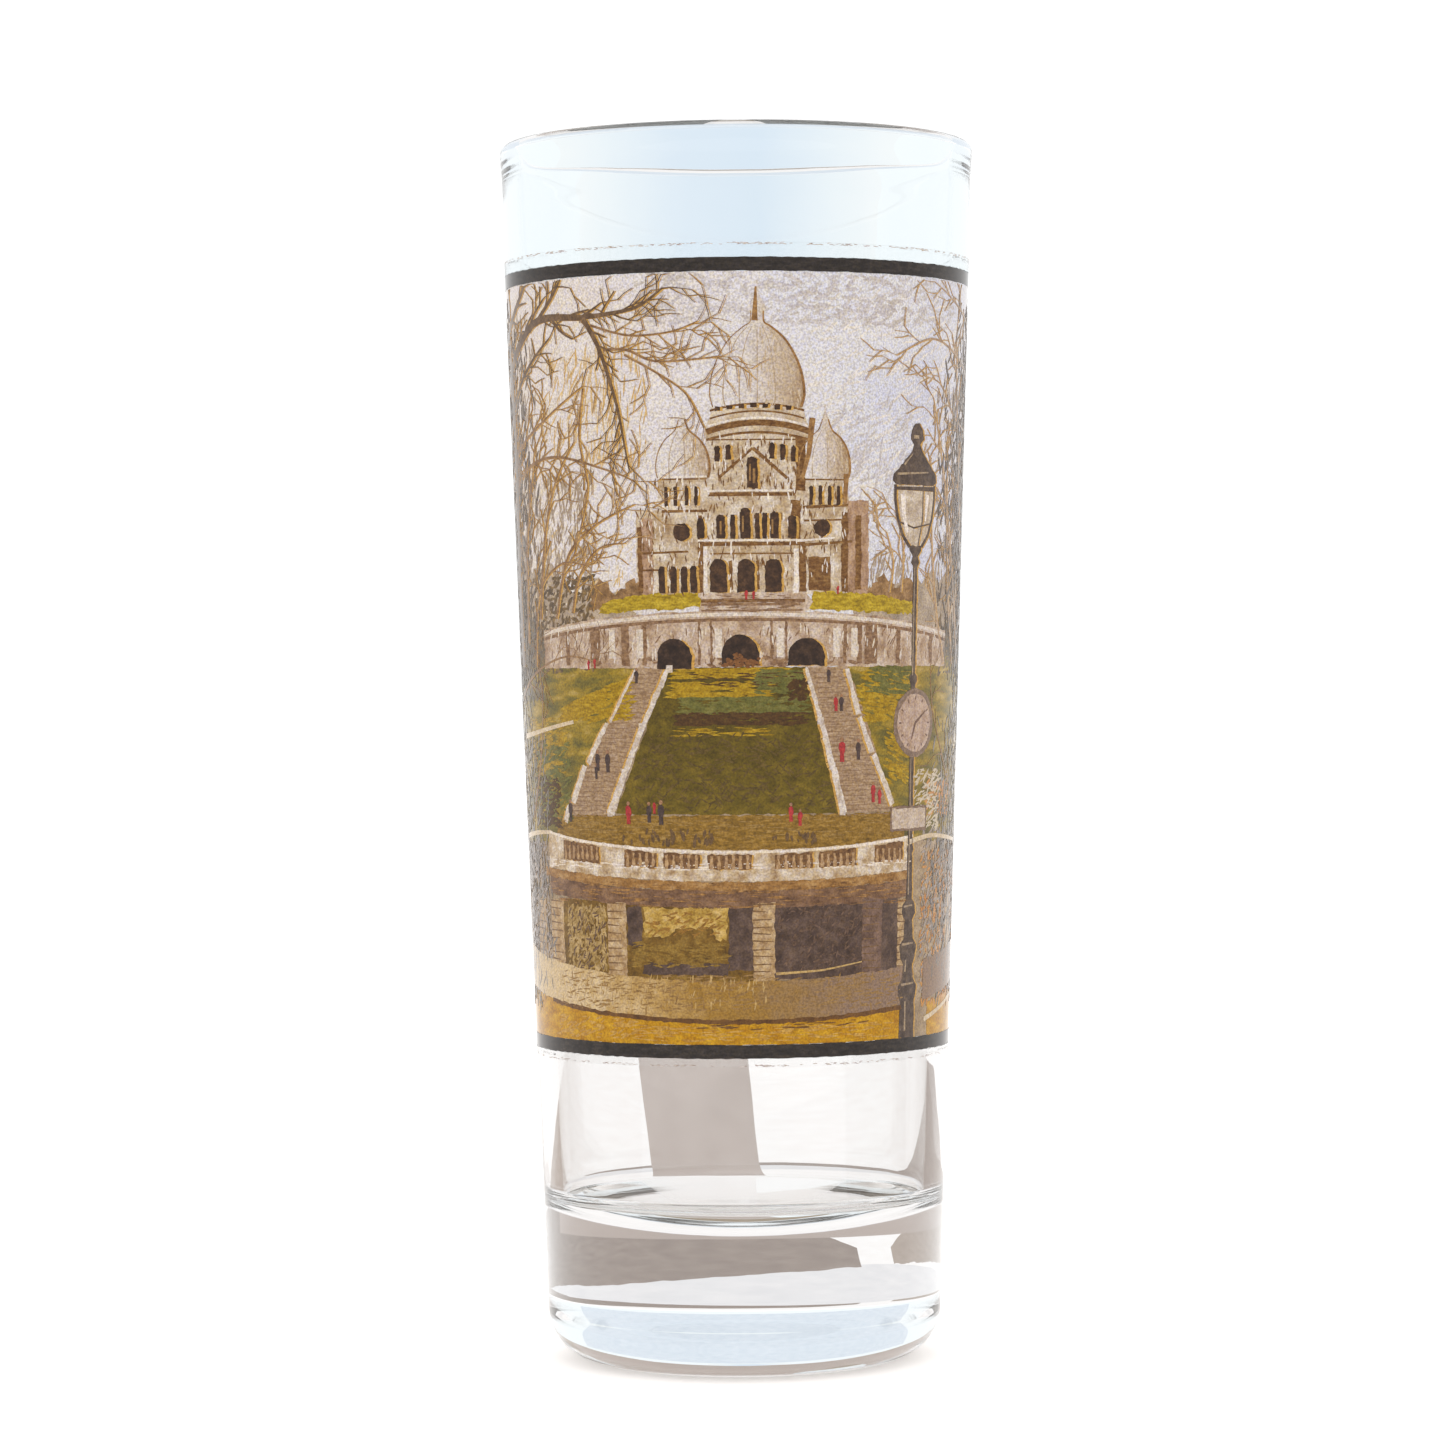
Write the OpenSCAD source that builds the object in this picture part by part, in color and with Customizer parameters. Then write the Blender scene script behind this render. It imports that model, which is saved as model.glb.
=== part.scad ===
// Tall souvenir shot glass: a clear tapered tumbler with a heavy foot and a fired-on picture transfer.
// The axis is +Z, the origin is the centre of the foot, and the middle of the picture faces -Y.

/* [Glass] */
// Height from the table to the top of the lip
glass_height = 105; // [95:1:120]
// Outside diameter that the straight side would have at the top
rim_diameter = 40.8; // [36:0.2:46]
// Outside diameter that the straight side would have at the table
base_diameter = 33.8; // [30:0.2:35]
// Wall thickness under the lip
rim_wall = 1.35; // [1.1:0.05:2]
// Wall thickness beside the cavity floor
low_wall = 1.6; // [1.4:0.05:2.6]
// How much the fire-polished lip stands proud of the wall on each side
lip_swell = 0.09; // [0:0.01:0.3]
// Height over which the wall swells into the lip
lip_height = 3.5; // [2:0.5:6]
// Thickness of solid glass under the middle of the cavity
floor_thickness = 11.3; // [8:0.1:16]
// Radius of the shallow dish that makes the cavity floor
floor_radius = 44; // [30:1:200]
// Radius of the corner between the cavity floor and the wall
inside_corner = 1.3; // [1:0.1:6]

/* [Foot] */
// Radius of the rounded heel
heel_radius = 4.4; // [3:0.1:5]
// Width of the flat ring that the glass stands on
foot_ring = 2.2; // [1.4:0.1:3]
// Depth of the shallow hollow inside the ring
punt_depth = 0.7; // [0.3:0.1:1.2]

/* [Transfer] */
// Height of the picture's lower edge above the table
picture_bottom = 28.4; // [22:0.1:34]
// Height of the picture's upper edge above the table
picture_top = 92.5; // [70:0.1:93]
// Width of the dark line above and below the picture
border_width = 1.15; // [0.8:0.05:1.5]
// How far round the glass the picture goes, in degrees
picture_wrap = 342; // [180:1:345]
// Thickness of the white underprint
white_film = 0.03; // [0.02:0.01:0.08]
// Thickness of the colour print on the white
colour_film = 0.05; // [0.03:0.01:0.1]
// Thickness of the clear coat where it covers the print
clear_film = 0.03; // [0.02:0.01:0.08]
// How far the clear coat runs past the upper line
coat_margin_top = 1.2; // [0.5:0.1:1.5]
// How far the clear coat runs past the lower line
coat_margin_bottom = 0.7; // [0.5:0.1:1.5]
// How far the clear coat runs past each end of the picture, in degrees
coat_margin_ends = 3; // [1:0.5:5]

/* [Hidden] */
$fn = 180;

GLASS_TINT = [0.86, 0.93, 0.95, 0.35];
INK_WHITE = [0.96, 0.95, 0.92];
PICTURE_OCHRE = [0.66, 0.55, 0.38];
BORDER_BLACK = [0.17, 0.15, 0.14];
COAT_CLEAR = [0.95, 0.96, 0.97, 0.25];

QUARTER_STEPS = 16;
SHALLOW_STEPS = 8;
// How far a cutting film reaches into the glass, so that it leaves no skin behind
CUT_DEPTH = 1;

rim_radius = rim_diameter / 2;
base_radius = base_diameter / 2;
taper = (rim_radius - base_radius) / glass_height;
lean = atan(taper);
print_film = white_film + colour_film;
print_bottom = picture_bottom - border_width;
print_top = picture_top + border_width;

lip_radius = rim_wall / 2 + lip_swell;
lip_z = glass_height - lip_radius;
lip_r = outer_radius(lip_z) - rim_wall / 2;
lip_start_z = glass_height - lip_height;

heel_r = outer_radius(heel_radius) - heel_radius / cos(lean);
ring_r = heel_r - foot_ring;
punt_radius = (pow(ring_r, 2) + pow(punt_depth, 2)) / (2 * punt_depth);

// The corner circle touches the dish of the floor from inside, so the two meet with no edge.
corner_r = inner_radius(floor_thickness + inside_corner) - inside_corner;
corner_z = floor_thickness + floor_radius - sqrt(pow(floor_radius - inside_corner, 2) - pow(corner_r, 2));
floor_slope = asin(corner_r / (floor_radius - inside_corner));

// Outside radius of the straight side at height z.
function outer_radius(z) = base_radius + taper * z;

// Inside radius at height z of a wall that thins evenly from the floor up to the lip.
function inner_radius(z) =
    outer_radius(z) - rim_wall - (low_wall - rim_wall) * (lip_z - z) / (lip_z - floor_thickness);

// Points on a circle of radius r about (x, y), from one angle to another.
function arc(x, y, r, from, to, steps) =
    [for (i = [0:steps]) let (a = from + (to - from) * i / steps) [x + r * cos(a), y + r * sin(a)]];

// How much the lip has swelled at height z, rising smoothly from nothing at lip_start_z.
function swell(z) = let (t = (z - lip_start_z) / (lip_z - lip_start_z)) lip_swell * t * t * (3 - 2 * t);

// Heights up the swelling stretch, leaving out its top, which belongs to the lip's round.
function swell_heights() =
    [for (i = [0:SHALLOW_STEPS - 1]) lip_start_z + (lip_z - lip_start_z) * i / SHALLOW_STEPS];

// Half outline of the tumbler: underside, heel, outside, lip, inside, corner and cavity floor.
function tumbler_outline() =
    let (heights = swell_heights(), last = len(heights) - 1)
    concat(
        arc(0, punt_depth - punt_radius, punt_radius, 90, acos(ring_r / punt_radius), SHALLOW_STEPS),
        arc(heel_r, heel_radius, heel_radius, -90, -lean, QUARTER_STEPS),
        [for (z = heights) [outer_radius(z) + swell(z), z]],
        arc(lip_r, lip_z, lip_radius, 0, 180, 2 * QUARTER_STEPS),
        [for (i = [last:-1:0]) let (z = heights[i]) [inner_radius(z) - swell(z), z]],
        arc(corner_r, corner_z, inside_corner, 0, floor_slope - 90, QUARTER_STEPS),
        arc(0, floor_thickness + floor_radius, floor_radius, floor_slope - 90, -90, SHALLOW_STEPS)
    );

// A conical film round the outside between two heights. It starts at lift from the glass.
module film_band(z_low, z_high, lift, film, wrap) {
    rotate([0, 0, -90 - wrap / 2])
        rotate_extrude(angle = wrap)
            polygon([
                [outer_radius(z_low) + lift, z_low],
                [outer_radius(z_low) + lift + film, z_low],
                [outer_radius(z_high) + lift + film, z_high],
                [outer_radius(z_high) + lift, z_high]
            ]);
}

module glass_tumbler() {
    color(GLASS_TINT)
        rotate_extrude()
            polygon(tumbler_outline());
}

module white_underprint() {
    color(INK_WHITE)
        film_band(picture_bottom, picture_top, 0, white_film, picture_wrap);
}

module picture_print() {
    color(PICTURE_OCHRE)
        film_band(picture_bottom, picture_top, white_film, colour_film, picture_wrap);
}

module upper_border_line() {
    color(BORDER_BLACK)
        film_band(picture_top, print_top, 0, print_film, picture_wrap);
}

module lower_border_line() {
    color(BORDER_BLACK)
        film_band(print_bottom, picture_bottom, 0, print_film, picture_wrap);
}

// The coat lies on top of the print and on the glass round it, so the print is cut out of it.
module clear_overprint() {
    coat_bottom = print_bottom - coat_margin_bottom;
    coat_top = print_top + coat_margin_top;
    coat_wrap = picture_wrap + 2 * coat_margin_ends;
    color(COAT_CLEAR)
        difference() {
            film_band(coat_bottom, coat_top, 0, print_film + clear_film, coat_wrap);
            film_band(print_bottom, print_top, -CUT_DEPTH, CUT_DEPTH + print_film, picture_wrap);
        }
}

glass_tumbler();
white_underprint();
picture_print();
upper_border_line();
lower_border_line();
clear_overprint();
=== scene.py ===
"""Looks of the tall souvenir shot glass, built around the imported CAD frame.

The glass is a fine lathe of the CAD tumbler's own outline. The picture is a stack of thin ink films,
each a closed mesh that follows the cone of the wall, laid out in a flat drawing (u, v): u is the
distance in millimetres round the glass from the middle of the picture, v the height above the foot.
"""
import math
import random

import bpy
import numpy as np
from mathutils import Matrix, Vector
from mathutils.geometry import delaunay_2d_cdt


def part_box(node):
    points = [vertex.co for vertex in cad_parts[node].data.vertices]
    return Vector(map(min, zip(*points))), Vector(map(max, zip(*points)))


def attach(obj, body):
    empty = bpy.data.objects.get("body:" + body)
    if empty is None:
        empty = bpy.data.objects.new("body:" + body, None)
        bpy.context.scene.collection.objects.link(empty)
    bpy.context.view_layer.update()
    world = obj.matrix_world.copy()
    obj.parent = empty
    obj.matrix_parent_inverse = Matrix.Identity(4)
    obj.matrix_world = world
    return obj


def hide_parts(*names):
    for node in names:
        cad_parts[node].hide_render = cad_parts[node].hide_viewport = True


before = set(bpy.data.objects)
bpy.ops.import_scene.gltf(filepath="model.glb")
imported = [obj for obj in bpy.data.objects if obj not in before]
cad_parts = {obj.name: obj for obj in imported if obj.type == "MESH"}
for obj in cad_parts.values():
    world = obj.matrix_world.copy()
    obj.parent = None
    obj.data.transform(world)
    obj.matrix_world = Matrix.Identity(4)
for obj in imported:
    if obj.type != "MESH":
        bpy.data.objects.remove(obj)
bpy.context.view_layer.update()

MM = 0.001
hand = random.Random(0)      # seeded again by each function that draws
GLASS = "glass_tumbler"

# ---------------------------------------------------------------- the wall, from the frame


def traced_outline(node):
    """Half outline of a turned CAD node as (r, z), from its lowest point on the axis to its highest."""
    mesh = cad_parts[node].data
    snap = 2e-5
    rings = []
    ring_of = {}
    for vertex in mesh.vertices:
        r, z = math.hypot(vertex.co.x, vertex.co.y), vertex.co.z
        key = (round(r / snap), round(z / snap))
        if key not in ring_of:
            near = [i for i, (a, b) in enumerate(rings) if abs(a - r) < snap and abs(b - z) < snap]
            if not near:
                rings.append((r, z))
            ring_of[key] = near[0] if near else len(rings) - 1
    links = {i: set() for i in range(len(rings))}
    for edge in mesh.edges:
        ends = []
        for index in edge.vertices:
            co = mesh.vertices[index].co
            ends.append(ring_of[(round(math.hypot(co.x, co.y) / snap), round(co.z / snap))])
        if ends[0] != ends[1]:
            links[ends[0]].add(ends[1])
            links[ends[1]].add(ends[0])
    on_axis = sorted((i for i, (r, z) in enumerate(rings) if r < snap), key=lambda i: rings[i][1])
    path, last = [on_axis[0]], on_axis[-1]
    while path[-1] != last:
        path.append(min(links[path[-1]] - set(path)))
    return [rings[i] for i in path]


def with_extra_rings(outline, longest):
    """The outline with points added on long straight stretches, so that smooth shading stays true."""
    out = [outline[0]]
    for (r0, z0), (r1, z1) in zip(outline, outline[1:]):
        length = math.hypot(r1 - r0, z1 - z0)
        if length > longest:
            inner = max(2, int(length / longest))
            shares = [0.1 * longest / length] + [i / inner for i in range(1, inner)]
            shares.append(1 - 0.1 * longest / length)
            out += [(r0 + (r1 - r0) * t, z0 + (z1 - z0) * t) for t in shares]
        out.append((r1, z1))
    return out


GLASS_OUTLINE = traced_outline(GLASS)
WIDEST = max(range(len(GLASS_OUTLINE)), key=lambda i: GLASS_OUTLINE[i][0])
OUTSIDE = [p for p in GLASS_OUTLINE[:WIDEST + 1] if p[1] > 0.003]


def wall_radius(z):
    """Outside radius of the glass at height z, in metres."""
    return np.interp(z, [p[1] for p in OUTSIDE], [p[0] for p in OUTSIDE])


def half_wrap(node):
    """How far round from the middle of the picture a CAD film reaches, in radians."""
    return max(abs(math.atan2(v.co.x, -v.co.y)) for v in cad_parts[node].data.vertices)


V_LOW, V_HIGH = (corner.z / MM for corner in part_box("picture_print"))
LINE_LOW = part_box("lower_border_line")[0].z / MM
LINE_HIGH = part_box("upper_border_line")[1].z / MM
COAT_LOW, COAT_HIGH = (corner.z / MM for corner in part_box("clear_overprint"))
U_RADIUS = float(wall_radius((V_LOW + V_HIGH) / 2 * MM)) / MM
U_END = half_wrap("picture_print") * U_RADIUS
U_COAT = half_wrap("clear_overprint") * U_RADIUS
WALL_LEAN = math.atan2(OUTSIDE[-1][0] - OUTSIDE[0][0], OUTSIDE[-1][1] - OUTSIDE[0][1])

# ---------------------------------------------------------------- drawing on the cone

EMBED = -0.005           # films start this far inside the glass, so no air shows between them
WHITE_TOP = 0.030        # outer face of the white underprint, in millimetres off the glass
INK_STEP = 0.006         # each ink level stands this much above the one below
BORDER_TOP = 0.080
COAT_TOP = 0.095
STRIP = 0.6              # widest flat strip round the cone, in millimetres


def on_wall(points, lift):
    """Places flat (u, v) points on the cone, lift millimetres off the glass. Returns an array in metres."""
    points = np.asarray(points, float)
    angle = points[:, 0] / U_RADIUS
    z = points[:, 1] * MM
    r = wall_radius(z) + lift * MM
    return np.stack([r * np.sin(angle), -r * np.cos(angle), z], axis=1)


def covered(points, outlines):
    """Which of the points lie inside at least one of the outlines."""
    inside = np.zeros(len(points), bool)
    for outline in outlines:
        start = np.array(outline)
        end = np.roll(start, -1, axis=0)
        near = (points >= start.min(axis=0)).all(axis=1) & (points <= start.max(axis=0)).all(axis=1)
        near = np.flatnonzero(near & ~inside)
        u, v = points[near, 0, None], points[near, 1, None]
        side = (end[:, 0] - start[:, 0]) * (v - start[:, 1]) - (end[:, 1] - start[:, 1]) * (u - start[:, 0])
        rising = (start[:, 1] <= v) & (end[:, 1] > v) & (side > 0)
        falling = (start[:, 1] > v) & (end[:, 1] <= v) & (side < 0)
        inside[near] = rising.sum(axis=1) != falling.sum(axis=1)
    return inside


def triangulated(outlines):
    """One flat triangle mesh that covers every outline once, cut into narrow strips round the cone."""
    corners, edges = [], []
    for outline in outlines:
        first, count = len(corners), len(outline)
        corners += [Vector(p) for p in outline]
        edges += [(first + i, first + (i + 1) % count) for i in range(count)]
    us = [c.x for c in corners]
    vs = [c.y for c in corners]
    for i in range(math.ceil(min(us) / STRIP), math.floor(max(us) / STRIP) + 1):
        edges.append((len(corners), len(corners) + 1))
        corners += [Vector((i * STRIP, min(vs) - 1)), Vector((i * STRIP, max(vs) + 1))]
    flat, _, found, _, _, _ = delaunay_2d_cdt(corners, edges, [], 0, 1e-6, False)
    flat = np.array([tuple(p) for p in flat])
    kept = np.array([t for t in found if len(t) == 3])
    a, b, c = flat[kept[:, 0]], flat[kept[:, 1]], flat[kept[:, 2]]
    area = (b[:, 0] - a[:, 0]) * (c[:, 1] - a[:, 1]) - (b[:, 1] - a[:, 1]) * (c[:, 0] - a[:, 0])
    chosen = (np.abs(area) > 1e-9) & covered((a + b + c) / 3, outlines)
    kept, area = kept[chosen], area[chosen]
    kept[area < 0] = kept[area < 0][:, ::-1]
    used, renumbered = np.unique(kept, return_inverse=True)
    return flat[used], renumbered.reshape(-1, 3)


def placed(name, points, faces, material):
    """A new mesh object of one material, linked into the scene."""
    mesh = bpy.data.meshes.new(name)
    mesh.from_pydata(points, [], faces)
    mesh.materials.append(material)
    piece = bpy.data.objects.new(name, mesh)
    bpy.context.scene.collection.objects.link(piece)
    return piece


def film(name, outlines, low, high, material):
    """A closed film over the outlines, from low to high millimetres off the glass, riding on the root."""
    flat, triangles = triangulated(outlines)
    count = len(flat)
    rim = {}
    for i, j in np.concatenate([triangles[:, [0, 1]], triangles[:, [1, 2]], triangles[:, [2, 0]]]).tolist():
        if (j, i) in rim:
            del rim[(j, i)]
        else:
            rim[(i, j)] = True
    sides = [(j, i, i + count, j + count) for i, j in rim]
    faces = triangles.tolist() + (triangles[:, ::-1] + count).tolist() + sides
    points = np.concatenate([on_wall(flat, high), on_wall(flat, low)]).tolist()
    piece = placed(name, points, faces, material)
    mesh = piece.data
    angle = flat[:, 0] / U_RADIUS
    level = math.cos(WALL_LEAN)
    outward = np.stack([np.sin(angle) * level, -np.cos(angle) * level,
                        np.full(count, -math.sin(WALL_LEAN))], axis=1)
    normals = np.concatenate([outward[triangles.ravel()], -outward[triangles[:, ::-1].ravel()]]).tolist()
    for face in mesh.polygons[2 * len(triangles):]:
        normals += [tuple(face.normal)] * 4
    mesh.polygons.foreach_set("use_smooth", [True] * len(mesh.polygons))
    mesh.normals_split_custom_set(normals)
    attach(piece, "root")
    return piece


def ink(name, outlines, level, tones, size=0.8, **settings):
    """One printed ink: a film from the white underprint up to its own level."""
    piece = film("print_" + name, outlines, WHITE_TOP - 0.002, WHITE_TOP + level * INK_STEP,
                 enamel("ink_" + name, tones, size, **settings))
    return piece

# ---------------------------------------------------------------- shapes in the flat drawing


def rect(u0, v0, u1, v1):
    """The rectangle between two opposite corners."""
    return [(u0, v0), (u1, v0), (u1, v1), (u0, v1)]


def moved(outlines, du, dv):
    """The outlines, all shifted by (du, dv)."""
    return [[(u + du, v + dv) for u, v in outline] for outline in outlines]


def ellipse(u, v, across, up, tilt=0.0, corners=20):
    """An ellipse about (u, v) with half axes across and up, tilted by an angle in degrees."""
    c, s = math.cos(math.radians(tilt)), math.sin(math.radians(tilt))
    turns = [2 * math.pi * i / corners for i in range(corners)]
    flat = [(across * math.cos(a), up * math.sin(a)) for a in turns]
    return [(u + x * c - y * s, v + x * s + y * c) for x, y in flat]


def arch(u, v, width, height, corners=9):
    """An opening with a round head, standing on v and centred on u."""
    half = width / 2
    head = [math.pi * i / (corners - 1) for i in range(corners)]
    return [(u - half, v), (u + half, v)] + [
        (u + half * math.cos(a), v + height - half + half * math.sin(a)) for a in head]


def turned(u, profile):
    """A shape that is symmetric about the upright line at u, from (half width, v) pairs going up."""
    return [(u + half, v) for half, v in profile] + [(u - half, v) for half, v in reversed(profile)]


def rough(outline, amount, step):
    """The outline with points about step apart, each moved a little, as a brush edge is."""
    out = []
    for (u0, v0), (u1, v1) in zip(outline, outline[1:] + outline[:1]):
        cuts = max(1, round(math.hypot(u1 - u0, v1 - v0) / step))
        for i in range(cuts):
            t = i / cuts
            out.append((u0 + (u1 - u0) * t + hand.uniform(-amount, amount),
                        v0 + (v1 - v0) * t + hand.uniform(-amount, amount)))
    return out


def smooth_line(points):
    """More points along a curve that passes through the given ones."""
    cuts = 6
    ends = [points[0]] + list(points) + [points[-1]]
    out = []
    for p0, p1, p2, p3 in zip(ends, ends[1:], ends[2:], ends[3:]):
        for i in range(cuts):
            t = i / cuts
            out.append(tuple(0.5 * (2 * b + (c - a) * t + (2 * a - 5 * b + 4 * c - d) * t * t
                + (3 * b - a - 3 * c + d) * t ** 3) for a, b, c, d in zip(p0, p1, p2, p3)))
    return out + [tuple(points[-1])]


def ribbon(points, start, end):
    """A stroke along the points, start wide at one end and end wide at the other."""
    left, right = [], []
    last = len(points) - 1
    for i, (u, v) in enumerate(points):
        (u0, v0), (u1, v1) = points[max(i - 1, 0)], points[min(i + 1, last)]
        length = math.hypot(u1 - u0, v1 - v0) or 1
        half = (start + (end - start) * i / last) / 2
        du, dv = -(v1 - v0) / length * half, (u1 - u0) / length * half
        left.append((u + du, v + dv))
        right.append((u - du, v - dv))
    return left + right[::-1]


def grow(start, heading, length, width, depth, spread=38, droop=0.0):
    """Ribbons of a bare branch that bends at random and sends off thinner ones. Angles are in degrees."""
    step = 0.8
    points, angle = [start], heading
    for _ in range(max(2, int(length / step))):
        angle += hand.uniform(-13, 13) - droop
        points.append((points[-1][0] + step * math.cos(math.radians(angle)),
                       points[-1][1] + step * math.sin(math.radians(angle))))
    out = [ribbon(points, width, width * 0.45)]
    if depth > 0:
        for i in range(1, len(points)):
            if hand.random() < 0.62:
                side = hand.choice((-1, 1)) * hand.uniform(0.6, 1.3) * spread
                share = 1 - 0.55 * i / len(points)
                out += grow(points[i], angle + side, length * hand.uniform(0.35, 0.6),
                            max(0.07, width * 0.55 * share), depth - 1, spread, droop)
    return out


def limb(points, start, end, twig_length, depth, every=3, droop=0.0):
    """A limb along the given points, with twigs growing from it at random, one at every so many points."""
    spread = 45
    line = smooth_line(points)
    out = [ribbon(line, start, end)]
    for i in range(4, len(line), every):
        (u0, v0), (u1, v1) = line[i - 1], line[i]
        heading = math.degrees(math.atan2(v1 - v0, u1 - u0)) + hand.choice((-1, 1)) * hand.uniform(20,
            spread)
        width = (start + (end - start) * i / len(line)) * 0.5
        out += grow(line[i], heading, twig_length * hand.uniform(0.5, 1.1), width, depth, droop=droop)
    return out


def dabs(count, u0, v0, u1, v1, length, width, tilt=0.0, sway=20.0, keep=None):
    """Short brush marks scattered over a rectangle, or over the part of it where keep(u, v) is true."""
    out = []
    while len(out) < count:
        u, v = hand.uniform(u0, u1), hand.uniform(v0, v1)
        angle, size = tilt + hand.uniform(-sway, sway), hand.uniform(0.5, 1.2)
        if keep is None or keep(u, v):
            out.append(ellipse(u, v, length / 2 * size, width / 2 * size, angle, 6))
    return out

# ---------------------------------------------------------------- materials


def linear(colour):
    """An sRGB colour, written as six hex digits, as linear RGBA."""
    share = [int(colour[i:i + 2], 16) / 255 for i in (0, 2, 4)]
    return [c / 12.92 if c <= 0.04045 else ((c + 0.055) / 1.055) ** 2.4 for c in share] + [1.0]


class Shader:
    """A new node material with a Principled shader, and short ways to add and join nodes."""

    def __init__(self, name):
        self.material = bpy.data.materials.new(name)
        self.material.use_nodes = True
        self.tree = self.material.node_tree
        self.main = self.tree.nodes["Principled BSDF"]
        self.place = self.add("ShaderNodeTexCoord").outputs["Object"]

    def add(self, kind, **settings):
        node = self.tree.nodes.new(kind)
        for key, value in settings.items():
            setattr(node, key, value)
        return node

    def join(self, output, target):
        self.tree.links.new(output, target)

    def constant(self, **values):
        for key, value in values.items():
            self.main.inputs[key.replace("_", " ")].default_value = value

    def noise(self, size, detail=4, squeeze=1, seed=0.0):
        """Noise between 0 and 1, with features about size millimetres across and size / squeeze high."""
        mapping = self.add("ShaderNodeMapping")
        mapping.inputs["Scale"].default_value = (1, 1, squeeze)
        mapping.inputs["Location"].default_value = (seed, seed * 0.7, seed * 1.3)
        texture = self.add("ShaderNodeTexNoise")
        texture.inputs["Scale"].default_value = 1 / (size * MM)
        texture.inputs["Detail"].default_value = detail
        texture.inputs["Roughness"].default_value = 0.55
        self.join(self.place, mapping.inputs["Vector"])
        self.join(mapping.outputs["Vector"], texture.inputs["Vector"])
        return texture.outputs["Fac"]

    def math(self, operation, a, b):
        node = self.add("ShaderNodeMath", operation=operation)
        for socket, value in zip(node.inputs, (a, b)):
            if isinstance(value, (int, float)):
                socket.default_value = value
            else:
                self.join(value, socket)
        return node.outputs[0]

    def span(self, value, low, high, to_low=0.0, to_high=1.0):
        node = self.add("ShaderNodeMapRange")
        self.join(value, node.inputs["Value"])
        for key, number in zip(("From Min", "From Max", "To Min", "To Max"), (low, high, to_low, to_high)):
            node.inputs[key].default_value = number
        return node.outputs["Result"]

    def graded(self, factor, axis, low, high, weight):
        """The factor blended with a straight rise along an axis, from low to high in millimetres."""
        axes = self.add("ShaderNodeSeparateXYZ")
        self.join(self.place, axes.inputs["Vector"])
        slope = self.span(axes.outputs[axis], low * MM, high * MM)
        return self.math("ADD", self.math("MULTIPLY", factor, 1 - weight),
                         self.math("MULTIPLY", slope, weight))

    def ramp(self, factor, tones, low=0.3, high=0.7):
        """Colours for a factor, from a row of tones spread evenly between low and high."""
        tones = tones.split()
        node = self.add("ShaderNodeValToRGB")
        stops = node.color_ramp.elements
        while len(stops) < len(tones):
            stops.new(0.5)
        for i, tone in enumerate(tones):
            stops[i].position = low + (high - low) * i / max(1, len(tones) - 1)
            stops[i].color = linear(tone)
        self.join(factor, node.inputs["Fac"])
        return node.outputs["Color"]

    def mix(self, factor, a, b, blend="MIX"):
        node = self.add("ShaderNodeMix", data_type="RGBA", blend_type=blend)
        colours = [s for s in node.inputs if s.type == "RGBA"]
        if isinstance(factor, (int, float)):
            node.inputs["Factor"].default_value = factor
        else:
            self.join(factor, node.inputs["Factor"])
        self.join(a, colours[0])
        self.join(b, colours[1])
        return [s for s in node.outputs if s.type == "RGBA"][0]

    def bump(self, height, distance, strength=1.0):
        node = self.add("ShaderNodeBump")
        node.inputs["Distance"].default_value = distance
        node.inputs["Strength"].default_value = strength
        self.join(height, node.inputs["Height"])
        self.join(node.outputs["Normal"], self.main.inputs["Normal"])


GLASS_IOR = 1.52                  # soda-lime glass
GRAIN_SIZE = 0.17                 # millimetres, as PLATE_SIZE
PLATE_SIZE = 0.24
GRAIN_TONES = "c4bebc ffffff"     # fine stipple of the fired dots
PLATE_TONES = "fff7e0 f4f2ff"     # yellow and violet dots that fall beside each other


def enamel(name, tones, size=1.0, squeeze=1, across=None, down=None, weight=0.6, detail=5,
           spread=(0.3, 0.7), dots=0.8):
    """Fired print: mottled tones with fine dots, shaded across (u0, u1) or down (v0, v1) if asked."""
    shader = Shader(name)
    factor = shader.noise(size, detail, squeeze)
    if across:
        factor = shader.graded(factor, "X", *(U_RADIUS * math.sin(u / U_RADIUS) for u in across), weight)
    if down:
        factor = shader.graded(factor, "Z", *down, weight)
    colour = shader.ramp(factor, tones, *spread)
    grain = shader.noise(GRAIN_SIZE, 2, 1, 3.0)
    plates = shader.noise(PLATE_SIZE, 2, 1, 9.0)
    colour = shader.mix(dots, colour, shader.ramp(grain, GRAIN_TONES, 0.34, 0.62), "MULTIPLY")
    colour = shader.mix(dots, colour, shader.ramp(plates, PLATE_TONES, 0.36, 0.64), "MULTIPLY")
    shader.join(colour, shader.main.inputs["Base Color"])
    shader.join(shader.span(grain, 0.3, 0.7, 0.34, 0.5), shader.main.inputs["Roughness"])
    shader.constant(Specular_IOR_Level=0.0, Coat_Weight=1.0, Coat_Roughness=0.07, Coat_IOR=1.3)
    shader.bump(grain, 0.01 * MM, 0.35)
    return shader.material


def clear(name, tones, waves, haze, roughness, depth, strength):
    """Clear glass with a faint tint and slow waves. A fine haze takes its roughness up to the given one."""
    shader = Shader(name)
    height = shader.noise(*waves)
    shader.join(shader.ramp(height, tones), shader.main.inputs["Base Color"])
    shader.join(shader.span(shader.noise(*haze), 0.5, 0.8, 0.0, roughness), shader.main.inputs["Roughness"])
    shader.constant(Transmission_Weight=1.0, IOR=GLASS_IOR)
    shader.bump(height, depth * MM, strength)
    return shader.material


# ---------------------------------------------------------------- glass and transfer


LONGEST_RING = 4 * MM
TURNS = 360                       # flat sides of the lathe


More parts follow.
